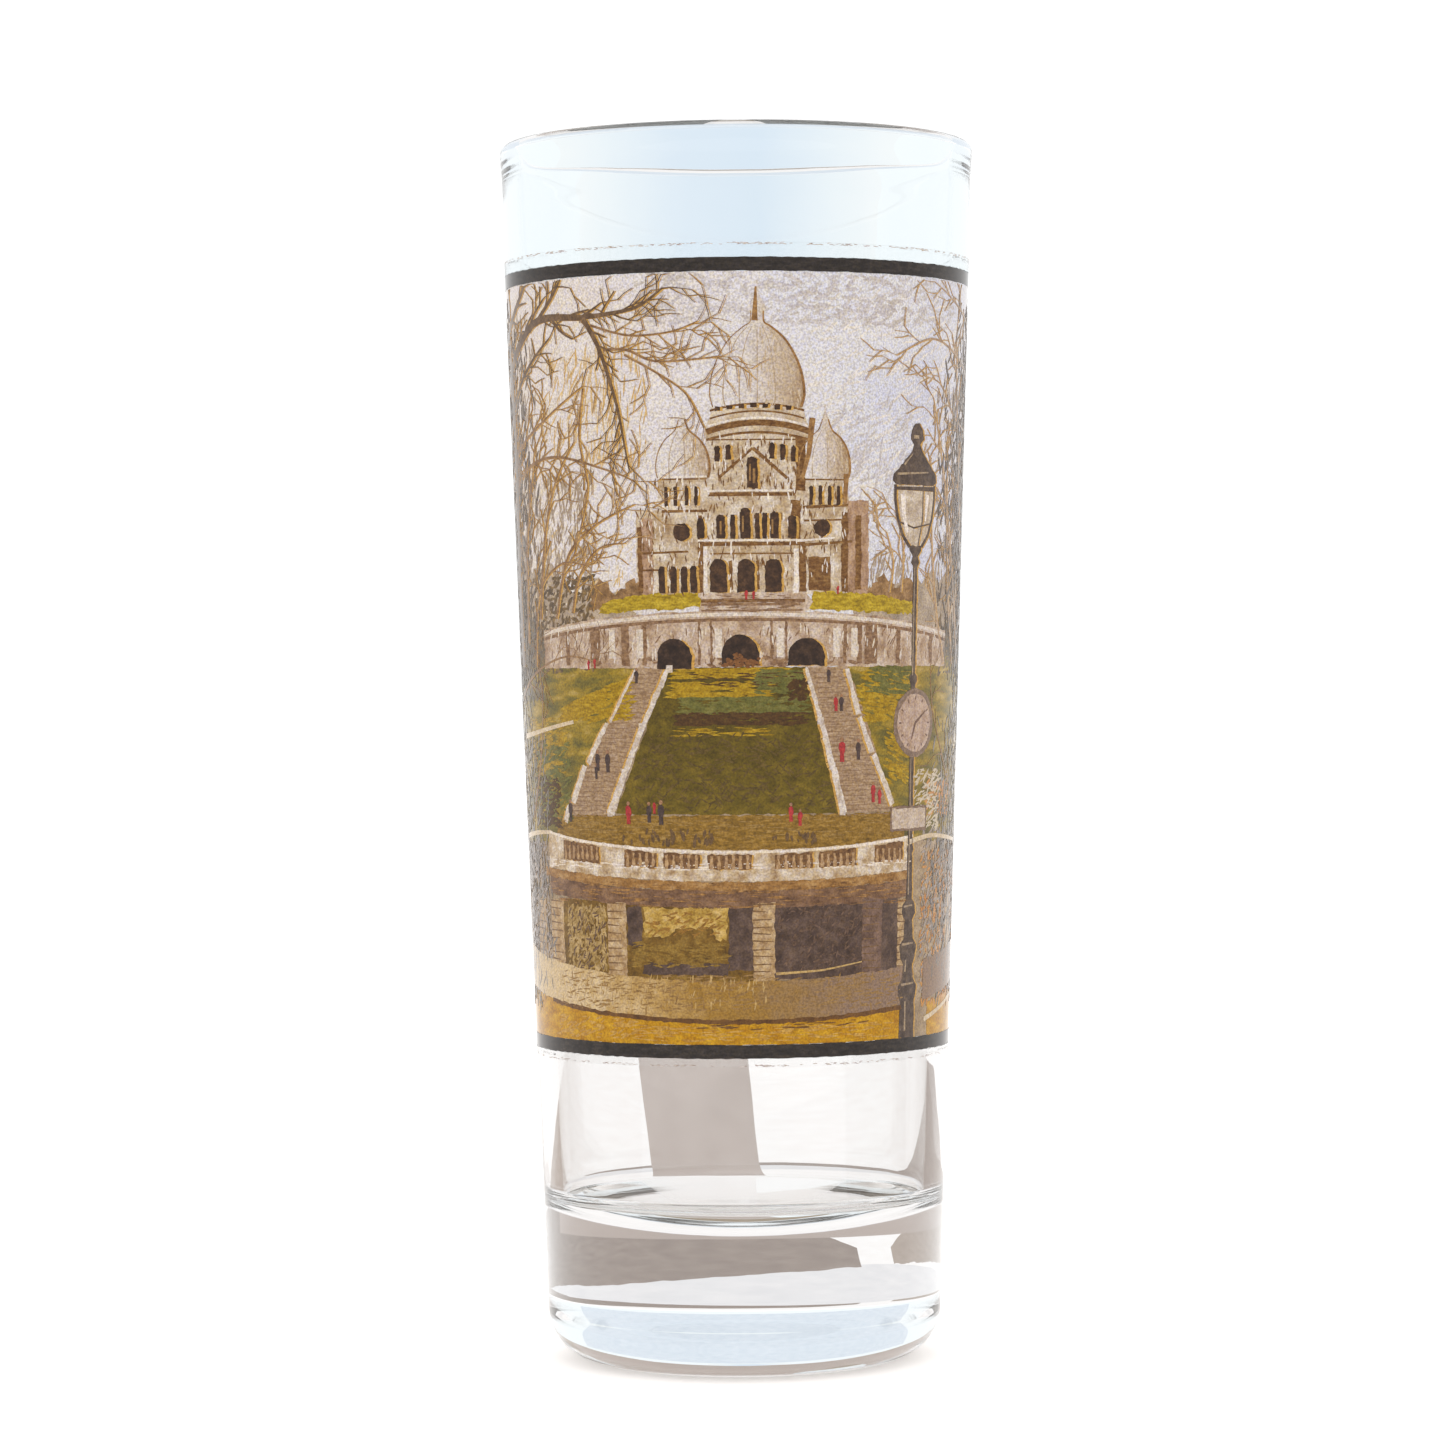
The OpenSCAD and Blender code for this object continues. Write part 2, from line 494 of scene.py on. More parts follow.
def lathe(name, outline, segments, material):
    """A closed turned mesh from an outline that starts and ends on the axis."""
    turns = [2 * math.pi * i / segments for i in range(segments)]
    body = outline[1:-1]
    points = [(r * math.cos(a), r * math.sin(a), z) for r, z in body for a in turns]
    bottom, top = len(points), len(points) + 1
    points += [(0, 0, outline[0][1]), (0, 0, outline[-1][1])]
    faces = []
    for ring in range(len(body) - 1):
        for i in range(segments):
            j = (i + 1) % segments
            low, high = ring * segments, (ring + 1) * segments
            faces.append((low + i, low + j, high + j, high + i))
    last = (len(body) - 1) * segments
    for i in range(segments):
        j = (i + 1) % segments
        faces.append((bottom, j, i))
        faces.append((top, last + i, last + j))
    piece = placed(name, points, faces, material)
    piece.data.polygons.foreach_set("use_smooth", [True] * len(faces))
    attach(piece, "root")
    return piece


def build_glass():
    """The tumbler: pressed glass, faintly cool, with slow waves and a very slight haze."""
    glass = clear("clear_glass", "fcfdfd ffffff", (9.0, 2, 0.45), (2.2, 5, 1, 4.0), 0.012, 0.06, 0.6)
    piece = lathe("tumbler_glass", with_extra_rings(GLASS_OUTLINE, LONGEST_RING), TURNS, glass)
    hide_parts(GLASS)


def build_transfer():
    """White underprint, border lines and the clear coat's margin."""
    white = enamel("white_enamel", "f6f5f1 fcfbf8", 3.0, dots=0.15)
    black = enamel("border_enamel", "24201e 322d2a 423b36", 0.9, 3)
    under = film("underprint_white", [rect(-U_END, V_LOW, U_END, V_HIGH)], EMBED, WHITE_TOP, white)
    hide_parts("white_underprint")
    hand.seed(11)
    for name, node, low, high in (("line_upper", "upper_border_line", V_HIGH, LINE_HIGH),
                                  ("line_lower", "lower_border_line", LINE_LOW, V_LOW)):
        line = film(name, [rough(rect(-U_END, low, U_END, high), 0.03, 0.5)], EMBED, BORDER_TOP, black)
        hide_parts(node)
    flux = clear("clear_flux", "fafbfb ffffff", (0.35, 4), (0.35, 4), 0.05, 0.002, 0.3)
    gap = 0.03
    coat = film("coat_margin", [
        rough(rect(-U_COAT, LINE_HIGH + gap, U_COAT, COAT_HIGH), 0.02, 0.4),
        rough(rect(-U_COAT, COAT_LOW, U_COAT, LINE_LOW - gap), 0.02, 0.4),
        rect(-U_COAT, LINE_LOW - 0.5, -U_END - gap, LINE_HIGH + 0.5),
        rect(U_END + gap, LINE_LOW - 0.5, U_COAT, LINE_HIGH + 0.5),
    ], EMBED, COAT_TOP, flux)
    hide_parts("clear_overprint")
    # Brown-grey specks in broken dashes along the upper and lower edges of the clear coat.
    specks = []
    for edge, count in ((COAT_HIGH - 0.10, 560), (COAT_LOW + 0.10, 360)):
        specks += dabs(count, -U_END, edge - 0.07, U_END, edge + 0.09, 0.42, 0.07, 0, 12,
            lambda u, v: math.sin(0.9 * u) + 0.7 * math.sin(2.3 * u + 1) > hand.uniform(-2.0, 1.2))
    edge_speck_film = film("coat_edge", specks, COAT_TOP - 0.01, COAT_TOP + 0.003,
                      enamel("coat_edge_specks", "9e8e86 beb4ae d6d0cc", 0.4))

# ---------------------------------------------------------------- the picture: a park below a domed hall


SKY_LOW = 57             # where the sky's ink starts, behind the trees
FRINGE = "b88c3e cea65c"
FRINGE_DROP = 0.03       # millimetres down, and this many levels under the ink it belongs to:
FRINGE_UNDER = 0.85
EDGE_GAP = 0.2           # strokes end this far inside the picture's edges


def bow(middle, end, half=20.0):
    """Height of a long edge that is lowest in the middle of the picture, as a function of u."""
    return lambda u: middle + (end - middle) * min(abs(u) / half, 1.5) ** 2


def band(u0, u1, low, high, step=1.2):
    """The area between two edges, each a height or a function of u."""
    low = low if callable(low) else (lambda u, v=low: v)
    high = high if callable(high) else (lambda u, v=high: v)
    cuts = max(1, math.ceil((u1 - u0) / step))
    us = [u0 + (u1 - u0) * i / cuts for i in range(cuts + 1)]
    return [(u, low(u)) for u in us] + [(u, high(u)) for u in reversed(us)]


def along(edge, u0, u1, lift, width):
    """A line of even width that follows an edge."""
    step = 1.8
    cuts = math.ceil((u1 - u0) / step)
    return ribbon([(u0 + (u1 - u0) * i / cuts, edge(u0 + (u1 - u0) * i / cuts) + lift)
        for i in range(cuts + 1)], width, width)


def fringed(name, outlines, level, shift, tones, size=0.8, **settings):
    """A dark ink with the thin ochre edge that a slightly misplaced yellow plate leaves beside it."""
    ink(name + "_fringe", moved(outlines, shift, -FRINGE_DROP), level - FRINGE_UNDER, FRINGE)
    ink(name, outlines, level, tones, size, **settings)


def cropped(outlines, low):
    """Strokes pressed back to the picture's edges where they would run past them."""
    out = []
    for outline in outlines:
        flat = [(min(max(u, EDGE_GAP - U_END), U_END - EDGE_GAP), min(max(v, low), V_HIGH - 0.1))
            for u, v in outline]
        if max(v for _, v in flat) - min(v for _, v in flat) > 0.02:
            out.append(flat)
    return out


def roughed(outlines, amount, step):
    """Every outline made rough."""
    return [rough(outline, amount, step) for outline in outlines]


def paint_sky():
    """Cloudy sky: a mottled ground and strokes of pale, cream, amber and mauve over it."""
    piece = ink("sky", [rect(-U_END, SKY_LOW, U_END, V_HIGH)], 1, "dad2cc dad5d3 d9d7d9 d7d8de cccedb",
        9.0, squeeze=1.3, across=(-28, 20), weight=0.42, spread=(0.25, 0.75), detail=9)
    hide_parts("picture_print")
    hand.seed(21)
    strokes = dabs(260, 6, 74, 27, 91, 2.2, 0.22, 28, 24) + dabs(170, -26, 72, -4, 91, 2.0, 0.22, 45, 40)
    ink("sky_pale", cropped(strokes + dabs(220, 27, 64, 56, 91, 3.0, 0.5, 10, 20), SKY_LOW), 2,
        "d6d1ce ded9d3 e4dfd8", 3.0)
    ink("sky_cream", cropped(dabs(300, -25, 64, -9, 91, 1.8, 0.24, 60, 40)
        + dabs(160, -56, 64, -27, 91, 3.0, 0.5, 10, 20), SKY_LOW), 2.3, "d4c7b2 dbd1c1 d9d3cd", 3.0)
    ink("sky_amber", cropped(dabs(130, -13.6, 77, -7.4, 87.5, 1.9, 0.16, 86, 14)
        + dabs(90, -19.5, 78, -13.5, 86, 1.5, 0.16, 70, 30)
        + dabs(40, -22, 66, -10, 72, 1.2, 0.16, 70, 40), SKY_LOW), 3.2, "c4a062 d0b27e d6c29c", 1.5)
    ink("sky_mauve", cropped(dabs(300, -8, 88.2, 22, 92.2, 1.3, 0.34, 10, 45)
        + dabs(120, 8, 72, 15.5, 82, 1.6, 0.22, 50, 40) + dabs(90, 27, 84, 56, 92, 3.0, 0.5, 6, 12),
        SKY_LOW), 3.1, "beb7b2 c6c1c1 cecbce", 3.0)


def paint_far_trees():
    """The hazy tree line and the hedges at both sides of the hall."""
    hand.seed(31)

    def left_top(u):
        return 65.4 + 3.4 * min(1, (-9 - u) / 14) + 0.8 * math.sin(u * 0.9) + 0.5 * math.sin(u * 2.3)

    def right_top(u):
        return 65.6 + 2.0 * min(1, (u - 10) / 12) + 0.6 * math.sin(u * 1.1) + 0.5 * math.sin(u * 2.7)

    ink("far_trees", roughed([band(-U_END, -9, SKY_LOW, left_top, 0.8),
        band(10, U_END, SKY_LOW, right_top, 0.8)], 0.3, 0.6), 2.5, "887a6a ac9c88 c4b49e", 2.2,
        squeeze=0.8, detail=8)
    ink("haze", cropped(dabs(620, -27, 62, -13, 76, 1.5, 0.22, 78, 28)
        + dabs(150, -27, 76, -20, 90, 1.6, 0.2, 80, 24) + dabs(240, 19.5, 62, 27, 84, 1.6, 0.18, 84, 18)
        + dabs(90, 10.5, 65, 16, 69, 1.2, 0.2, 80, 20), SKY_LOW), 3.3, "8c7862 a4927c aca094", 1.4,
        detail=7)
    ink("hedges", roughed([band(-U_END, -13.2, 55, lambda u: 62.6 + 1.2 * math.sin(u * 0.55 + 1), 0.8),
        band(20, U_END, 55, lambda u: 62.4 + 1.2 * math.sin(u * 0.6), 0.8)], 0.35, 0.4), 3.4,
        "4e463e 685e4e 8c7a5c", 1.3, squeeze=1.4, detail=8)
    ink("shrubs", dabs(620, -28, 57, -20.5, 66.5, 0.9, 0.3, 60, 60,
        lambda u, v: v < 60 + (-18.5 - u) * 1.1), 4.4, "545048 6c6252 827258", 0.7, detail=7)
    ink("hedge_marks", dabs(620, -27, 59.5, -13, 67.5, 0.8, 0.3, 40, 60)
        + dabs(120, 20, 59, 27, 64, 0.8, 0.3, 40, 60), 4.5, "483c30 68563c 94784a", 0.6, detail=7)
    ink("low_bushes", roughed([band(-13.5, -7.6, 64.8, lambda u: 66.6 + 0.6 * math.sin(u * 1.9), 0.5),
        band(10.2, 16.5, 64.8, lambda u: 66.9 + 0.6 * math.sin(u * 2.1), 0.5)], 0.25, 0.3), 4.3,
        "684c2e 8c6c46 aa885e", 0.8, detail=8)


def paint_hall():
    """A simplified domed hall: three plain domes, rows of round-headed windows and a three-arched porch."""
    hand.seed(41)
    big = [(3.5, 81.2), (3.75, 82.4), (3.6, 83.8), (3.1, 85.3), (2.35, 86.6), (1.4, 87.6), (0.6, 88.2),
        (0.5, 89.2), (0.75, 89.4), (0.4, 90.1), (0.12, 90.7), (0.06, 91.7)]
    small = [(2.1, 75.4), (2.25, 76.4), (2.05, 77.5), (1.5, 78.5), (0.7, 79.3), (0.28, 79.6), (0.26, 80.4),
        (0.08, 80.9), (0.04, 81.5)]
    side_curve = [(3.55, 81.3), (3.8, 82.4), (3.6, 84), (3.05, 85.5), (2.2, 86.9), (1.1, 87.9),
        (0.55, 88.3), (0.5, 89.2)]
    small_curve = [(2.1, 75.5), (2.25, 76.4), (2.0, 77.7), (1.4, 78.7), (0.6, 79.4), (0.25, 80.3)]
    ink("hall_body", roughed([rect(-3.3, 65.2, 5.5, 74.2), rect(-8.7, 65.8, -3.0, 72.9),
        rect(5.1, 65.8, 9.2, 73.3), [(-2.7, 74), (5.5, 74), (5.8, 79.3), (5.1, 81.3), (-2.1, 81.3),
        (-2.7, 79.3)], rect(-6.7, 72.7, -2.5, 75.6), rect(5.1, 73.0, 9.2, 75.6)], 0.06, 0.45), 4,
        "967a56 b9a486 cdc0ac d9d1c6", 1.6, detail=8)
    ink("hall_far_wing", roughed([rect(9.1, 65.8, 11.2, 73.6), rect(-8.3, 65.8, -7.2, 72.2)], 0.08, 0.4),
        5, "88684c a8886c bea48c", 0.8, squeeze=0.5, detail=6)
    tones = "d7d3d1 d0c9c3 c5b6a4 a08460"
    for name, centre, profile, half in (("", 1.5, big, 5.0), ("_left", -4.6, small, 2.9),
            ("_right", 7.1, small, 2.9)):
        ink("hall_dome" + name, [turned(centre, profile)], 5, tones, 1.3,
            across=(centre - half, centre + half), weight=0.72, spread=(0.32, 0.8), detail=7)
    ribs, edges, strokes = [], [], []
    for centre, curve, shares, width in ((1.5, side_curve[:6], (-0.72, -0.38, 0.0, 0.38, 0.72), 0.1),
            (-4.6, small_curve[:5], (-0.5, 0.1, 0.6), 0.08),
            (7.1, small_curve[:5], (-0.5, 0.1, 0.6), 0.08)):
        ribs += [ribbon(smooth_line([(centre + share * w, v) for w, v in curve]), width, 0.05)
            for share in shares]
    for centre, curve, width in ((1.5, side_curve, 0.24), (-4.6, small_curve, 0.2),
            (7.1, small_curve, 0.2)):
        edges.append(ribbon(smooth_line([(centre + w, v) for w, v in curve]), width, 0.12))
        edges.append(ribbon(smooth_line([(centre - w, v) for w, v in curve]), 0.08, 0.06))
        low, span = curve[0][1], curve[-1][1] - curve[0][1]
        for _ in range(90 if span > 6 else 44):
            t, share = hand.random() * 0.8, hand.uniform(0.1, 0.95)
            w = np.interp(low + t * span, [v for _, v in curve], [w for w, _ in curve])
            strokes.append(ellipse(centre + share * w, low + t * span, 0.06, hand.uniform(0.2, 0.5),
                12 * share, 6))
    ink("dome_ribs", ribs, 6.2, "aa967c beac94")
    ink("dome_strokes", strokes, 6, "bca88c cabaa4", 0.6)
    edges += [ribbon([(6.0, 80.4), (5.7, 77.5), (5.1, 75.2)], 0.5, 0.3),
        ribbon([(9.0, 75.8), (8.9, 73.3)], 0.5, 0.3), ribbon([(1.3, 88.4), (1.4, 91.2)], 0.5, 0.14)]
    ink("dome_edges", edges, 7, "74522e 967042 b08c5a", 0.6)

    def ring(middle, drop, width, u0=-2.3, u1=5.3):
        centre, half = (u0 + u1) / 2, (u1 - u0) / 2
        return ribbon([(centre + half * t, middle - drop * t * t) for t in (i / 8 - 1 for i in range(17))],
            width, width)

    cornices = [ring(81.55, 0.55, 0.18), ring(80.95, 0.6, 0.14), ring(80.0, 0.75, 0.5, -2.6, 5.8),
        ring(79.2, 0.6, 0.2, -2.6, 5.7)]
    for u0, v0, u1, v1, w in ((-2.5, 74.1, 4.3, 74.1, .34), (-6.4, 72.75, -2.6, 72.75, .24),
            (5.2, 73, 9.2, 73.2, .26), (-3.4, 70, 5.4, 70, .34), (-8.5, 69.3, -4.2, 69.4, .2),
            (5.4, 69.9, 9.6, 70.2, .24), (-1.6, 75.5, 1.1, 77.9, .24), (1.1, 77.9, 3.9, 75.4, .3),
            (-3.2, 65.3, 5.4, 65.3, .3), (-2.4, 69.2, 4.6, 69.2, .14), (-8.4, 67.9, -3.4, 67.9, .16),
            (5.3, 71.9, 9.2, 72, .16), (-6.5, 75.4, -2.6, 75.4, .14), (5.3, 75.3, 9.1, 75.3, .14),
            (-2.6, 78.6, 5.4, 78.6, .12)):
        cornices.append(ribbon([(u0, v0), (u1, v1)], w, w * 0.85))
    walls = [rect(4.9, 66, 5.5, 70), rect(4.2, 70.2, 5.0, 73.6), rect(-3.4, 66, -3.0, 72.4),
        rect(8.6, 66, 9.2, 72.6), rect(4.6, 74.4, 5.4, 78.8), rect(-0.9, 66.2, -0.6, 68.6),
        rect(1.3, 66.2, 1.6, 68.6), rect(5.7, 66.1, 7.6, 68.9), rect(9.9, 66.2, 10.5, 72.4),
        rect(-8.6, 66, -8.2, 71.5)]
    marks = dabs(300, -8.6, 66, 9.2, 75.4, 0.7, 0.12, 90, 24)
    marks += dabs(90, -2.5, 74.4, 5.3, 78.6, 0.7, 0.12, 90, 10)
    ink("hall_shades", cornices + roughed(walls, 0.06, 0.4) + marks, 6, "58381c 78542c 967446", 0.5,
        squeeze=2, detail=6)
    ledges = [ring(80.4, 0.7, 0.18, -2.5, 5.6), rect(4.45, 65.9, 4.85, 69.6),
        rect(-2.95, 65.9, -2.65, 69.8)]
    for u0, v0, u1, v1 in ((-3.4, 70.3, 5.6, 70.3), (-2.6, 74.4, 4.4, 74.4), (4.6, 70.2, 8.0, 70.5),
            (-6.6, 75.6, -2.6, 75.6)):
        ledges.append(ribbon([(u0, v0), (u1, v1)], 0.16, 0.14))
    ink("hall_lights", ledges + dabs(260, -8.4, 66, 9, 79, 0.7, 0.13, 90, 14), 6.5, "d6ccbe e8e2da")
    windows = [arch(-1.75 + 0.88 * i, 76.8 + 0.12 * min(i, 7 - i), 0.42, 1.3)
        for i in range(8) if i not in (2, 3, 4)]
    windows += [arch(u, v, w, h) for u, v, w, h in ((1.05, 74.6, .85, 2.6), (-3.15, 70.45, .6, 1.7),
        (-1.5, 70.45, .72, 2), (-0.55, 70.45, .4, 2), (0.45, 70.45, .85, 2.5), (1.45, 70.45, .4, 2.1),
        (2.05, 70.45, .42, 2.1), (2.85, 70.45, .7, 2.2), (4.3, 70.45, .7, 1.9))]
    windows += [arch(u, 73.2, 0.3, 1.6) for u in (-6.0, -5.2, -4.3, -3.5, 5.9, 6.7, 7.5, 8.3)]
    windows += [arch(u, 66.0, 1.4, 2.75) for u in (-1.75, 0.5, 2.75)]
    windows += [arch(u, 66.0, 0.55, 2.2) for u in (-6.5, -5.5, -4.6, -3.8)]
    windows += [ellipse(-4.75, 71.0, 0.72, 0.74), ellipse(6.85, 71.3, 0.72, 0.7)]
    windows += [rect(-1.9 + 0.95 * i, 81.0 + 0.09 * min(i, 6 - i), -1.45 + 0.95 * i,
        81.35 + 0.09 * min(i, 6 - i)) for i in range(7)]
    fringed("hall_openings", roughed(windows, 0.05, 0.3), 7.1, 0.2, "302016 422e20 5c422c", 0.5)
    glimpses = [rect(0.8, 75.2, 0.95, 76.6), rect(1.1, 75.0, 1.3, 76.2), rect(0.2, 71, 0.35, 72.3),
        rect(2.6, 70.8, 2.75, 72.0), rect(-1.6, 70.8, -1.45, 71.9)]
    ink("hall_glimpses", glimpses, 8, "785a36 aa8450", 0.4)


def paint_terrace():
    """Grass bank, pale terrace wall with three dark arches, and the parapet to the sides."""
    hand.seed(51)
    ink("grass_bank", roughed([[(-12.6, 64.3), (-3.3, 64.8), (-3.3, 66.0), (-8, 65.9), (-12.2, 65.3)],
        [(5.9, 64.5), (16.4, 64.2), (16.2, 65.2), (11, 65.9), (6.2, 66.0)]], 0.15, 0.3), 5.2,
        "826c12 ac921e c4ac36", 0.8, squeeze=3, detail=7)
    top = bow(64.5, 62.9, 21)
    ink("terrace_wall", roughed([band(-20, 22, 59.8, top),
        [(-3.4, 64.4), (5.2, 64.4), (6.6, 64.6), (5.4, 66.0), (-3.4, 66.0)]], 0.08, 0.5), 5,
        "92765c b09880 c4b2a0 d0c4b6", 1.3, squeeze=0.8, detail=8)
    piers = [(-16.4, 0.5), (-13.1, 1.1), (-10.0, 0.7), (-8.2, 0.45), (-3.4, 0.25), (-2.4, 0.2),
        (2.6, 0.25), (3.8, 0.2), (9.0, 0.3), (10.4, 0.45), (11.6, 1.3), (14.6, 0.5), (19.2, 0.6)]
    strips = [along(top, -20, 22, -0.75, 0.26), ribbon([(-3.2, 65.0), (5.0, 65.0)], 0.2, 0.24),
        ribbon([(-3.2, 64.5), (5.2, 64.5)], 0.14, 0.14)]
    strips += roughed([rect(u - w / 2, 60, u + w / 2, top(u) - 0.8) for u, w in piers], 0.07, 0.35)
    strips += dabs(46, -8, 59.9, 10, 60.6, 0.9, 0.3) + dabs(120, -19, 60.2, 20, 63, 0.8, 0.12, 80, 30)
    strips += dabs(70, -3.2, 64.4, 5, 65.8, 0.9, 0.12, 0, 8)
    ink("terrace_shades", strips, 6, "684a32 86684c a08264", 0.5, squeeze=2, detail=6)
    ink("terrace_coping", [along(top, -20, 22, -0.32, 0.3)]
        + [rect(u, 60.6, u + 0.6, 63.0) for u in (-11.6, -8.9, -2.1, 3.0, 7.9, 9.6)]
        + dabs(90, -19, 60.4, 20, 63.2, 0.9, 0.16, 86, 14), 6.5, "c8bbaa dcd3c7", 1.0)
    arches = [arch(-5.55, 59.7, 3.0, 2.5, 13), arch(0.0, 59.9, 3.1, 2.6, 13),
        arch(5.55, 59.9, 3.2, 2.3, 13)]
    fringed("terrace_arches", roughed(arches, 0.06, 0.35), 7, 0.24, "241812 36261c 4e3a2c", 0.6, detail=6)
    ink("terrace_plants", dabs(60, -1.6, 59.8, 1.7, 60.5, 0.4, 0.25)
        + dabs(14, -0.5, 60.4, 0.2, 61.0, 0.3, 0.2), 8, "684022 845a32", 0.4)


def paint_lawns():
    """The sloping lawn between the stairs, and the grass beyond them."""
    hand.seed(61)
    ink("side_lawns", roughed([[(-U_END, 45), (-16, 45), (-8.4, 59.9), (-20, 60.8), (-U_END, 60.2)],
        [(9, 59.9), (15, 45), (U_END, 45), (U_END, 60.4), (22, 60.6)]], 0.15, 0.6), 4,
        "544e26 726628 967e24 b29a54", 2.6, squeeze=2.6, detail=8)
    ink("lawn", [rough([(-11.4, 47.6), (9.0, 47.6), (5.4, 59.8), (-5.9, 59.8)], 0.08, 0.4)], 5,
        "382e08 52440a 665612 7c681e", 1.2, squeeze=1.6, down=(66, 45), weight=0.22, spread=(0.26, 0.72),
        detail=8)

    def off_steps(u, v):
        return v < 59.2 - (u + 9) * -0.32 and u < -9.8 + (v - 55.2) * 0.55

    marks = dabs(130, -5.4, 58.9, 3.6, 59.7, 1.6, 0.2, 0, 6)
    marks += dabs(120, -5.8, 57.3, 2.2, 58.6, 1.8, 0.24, 0, 6)
    marks += dabs(40, -5.8, 54.1, 2.5, 54.8, 1.5, 0.14, 0, 5)
    marks += dabs(260, -17.5, 55.4, -9.8, 59.2, 1.6, 0.26, 14, 10, off_steps)
    marks += dabs(130, -24, 50.6, -17.4, 55.6, 1.6, 0.24, 10, 12)
    marks += dabs(190, 10.6, 55.2, 15.6, 59.4, 1.4, 0.26, -12, 14)
    marks += dabs(90, 13.4, 50.0, 16.2, 54.6, 1.1, 0.24, -20, 14)
    ink("lawn_lights", marks, 6, "846808 a2820e b89a28", 0.7, squeeze=3, detail=7)
    marks = dabs(210, -5.2, 55.0, 5.6, 56.0, 1.3, 0.2, 0, 8)
    marks += dabs(40, 4.2, 57.0, 5.6, 58.6, 0.8, 0.3, 0, 40)
    marks += dabs(40, -4, 58.2, 5, 59.4, 1.0, 0.12, 0, 10)
    marks += dabs(130, -23, 46.4, -18.4, 50.5, 1.0, 0.24, 8, 40)
    ink("lawn_darks", marks, 6.3, "3e2a10 503616 5e461e", 0.5, squeeze=2, detail=7)
    low = dabs(420, -9.4, 47.9, 8.2, 54.2, 0.9, 0.16, 4, 60,
        lambda u, v: -11 + (v - 47) * 0.45 < u < 8.8 - (v - 47.6) * 0.28)
    ink("lawn_low_marks", low, 6.1, "4e401a 5c4a20 6e5a2c", 0.5, detail=7)
    marks = dabs(200, -5.0, 56.0, 5.6, 57.3, 1.4, 0.22, 0, 8)
    marks += dabs(110, 1.4, 57.6, 5.0, 59.6, 1.2, 0.22, 0, 10)
    marks += dabs(110, 11.2, 57.4, 16.4, 59.8, 1.4, 0.24, -5, 10)
    marks += dabs(170, -23, 46.8, -16.8, 53.5, 1.2, 0.24, 14, 20)
    for u0 in (30, -55):
        marks += dabs(160, u0, 47, u0 + 25, 59, 2.0, 0.4, 0, 12)
    ink("lawn_greens", marks, 6.2, "545422 68662e 7e783e", 0.7, squeeze=2, detail=7)


def paint_stairs():
    """Two flights of steps with pale kerbs and posts."""
    hand.seed(71)
    left = [(-17.9, 46.8), (-11.7, 47.4), (-6.1, 59.8), (-9.0, 59.8)]
    right = [(9.0, 47.6), (14.4, 47.6), (9.3, 59.8), (5.6, 59.8)]
    ink("stairs", roughed([left, right], 0.08, 0.4), 5, "866a4e a08668 b69e84", 0.6, squeeze=3, detail=7)
    treads = []
    for i in range(30):
        v = 47.4 + 0.41 * i
        share = (v - 46.8) / 13.0
        for u0, u1 in ((-17.4 + 8.8 * share, -12.3 + 5.7 * share), (9.5 - 3.5 * share, 14.0 - 5.0 * share)):
            cut = u0 + (u1 - u0) * hand.uniform(0.3, 0.7)
            treads += [ribbon([(u0, v), (cut, v + hand.uniform(-0.06, 0.06))], 0.1, 0.05),
                ribbon([(cut + 0.3, v + 0.1), (u1, v)], 0.05, 0.1)]
    ink("stair_treads", treads, 6.2, "82664c 967a5e")
    edge = dict(tones="b2a08c ccc1b4 ded7d0", size=0.6)
    parts = [((-11.9, 47.6), (-10.4, 51.0), 0.75, 0.6), ((-10.3, 51.1), (-8.6, 54.8), 0.6, 0.5),
        ((-8.5, 54.9), (-6.1, 59.7), 0.5, 0.36), ((9.0, 47.6), (8.0, 51.4), 0.7, 0.55),
        ((7.9, 51.5), (6.9, 55.2), 0.55, 0.45), ((6.8, 55.4), (5.5, 59.7), 0.4, 0.3),
        ((-17.6, 46.9), (-16.9, 48.2), 0.6, 0.6), ((-16.4, 48.5), (-14.7, 51.6), 0.62, 0.55),
        ((-14.3, 51.8), (-12.1, 55.2), 0.5, 0.42), ((-11.7, 55.3), (-9.1, 59.6), 0.3, 0.25),
        ((14.2, 48.2), (12.0, 52.4), 0.6, 0.5), ((11.8, 52.6), (10.5, 55.6), 0.55, 0.45),
        ((10.4, 55.8), (9.2, 59.6), 0.5, 0.35)]
    fringed("stair_edges", [rough(ribbon([a, b], w0, w1), 0.06, 0.4) for a, b, w0, w1 in parts], 7, -0.2,
        **edge)
    posts = [(-6.0, 59.6), (-8.6, 54.8), (-10.4, 51.0), (-12.0, 47.6), (8.9, 47.6), (7.9, 51.4),
        (6.8, 55.2)]
    ink("stair_posts", [rect(u - 0.28, v - 0.2, u + 0.28, v + 0.4) for u, v in posts], 8, **edge)


def paint_promenade():
    """The walk behind the balustrade."""
    hand.seed(81)
    edge = bow(44.8, 46.2)
    ink("promenade", [rough(band(-19, 15.8, lambda u: edge(u) - 0.6, 47.5), 0.1, 0.4)], 6,
        "684e18 886824 a68442", 0.7, squeeze=3, detail=8)
    ink("promenade_marks", dabs(150, -18, 45.4, 15, 47.4, 1.6, 0.12, 0, 6), 7, "705422 ac8c4e", 0.4)
    people = dabs(34, -11, 45.2, -2, 46.2, 0.75, 0.28, 90, 22)
    people += dabs(16, 2.4, 45.2, 7.0, 46.0, 0.7, 0.28, 90, 22)
    ink("promenade_figures", people, 8.1, "544028 745a3a", 0.4)


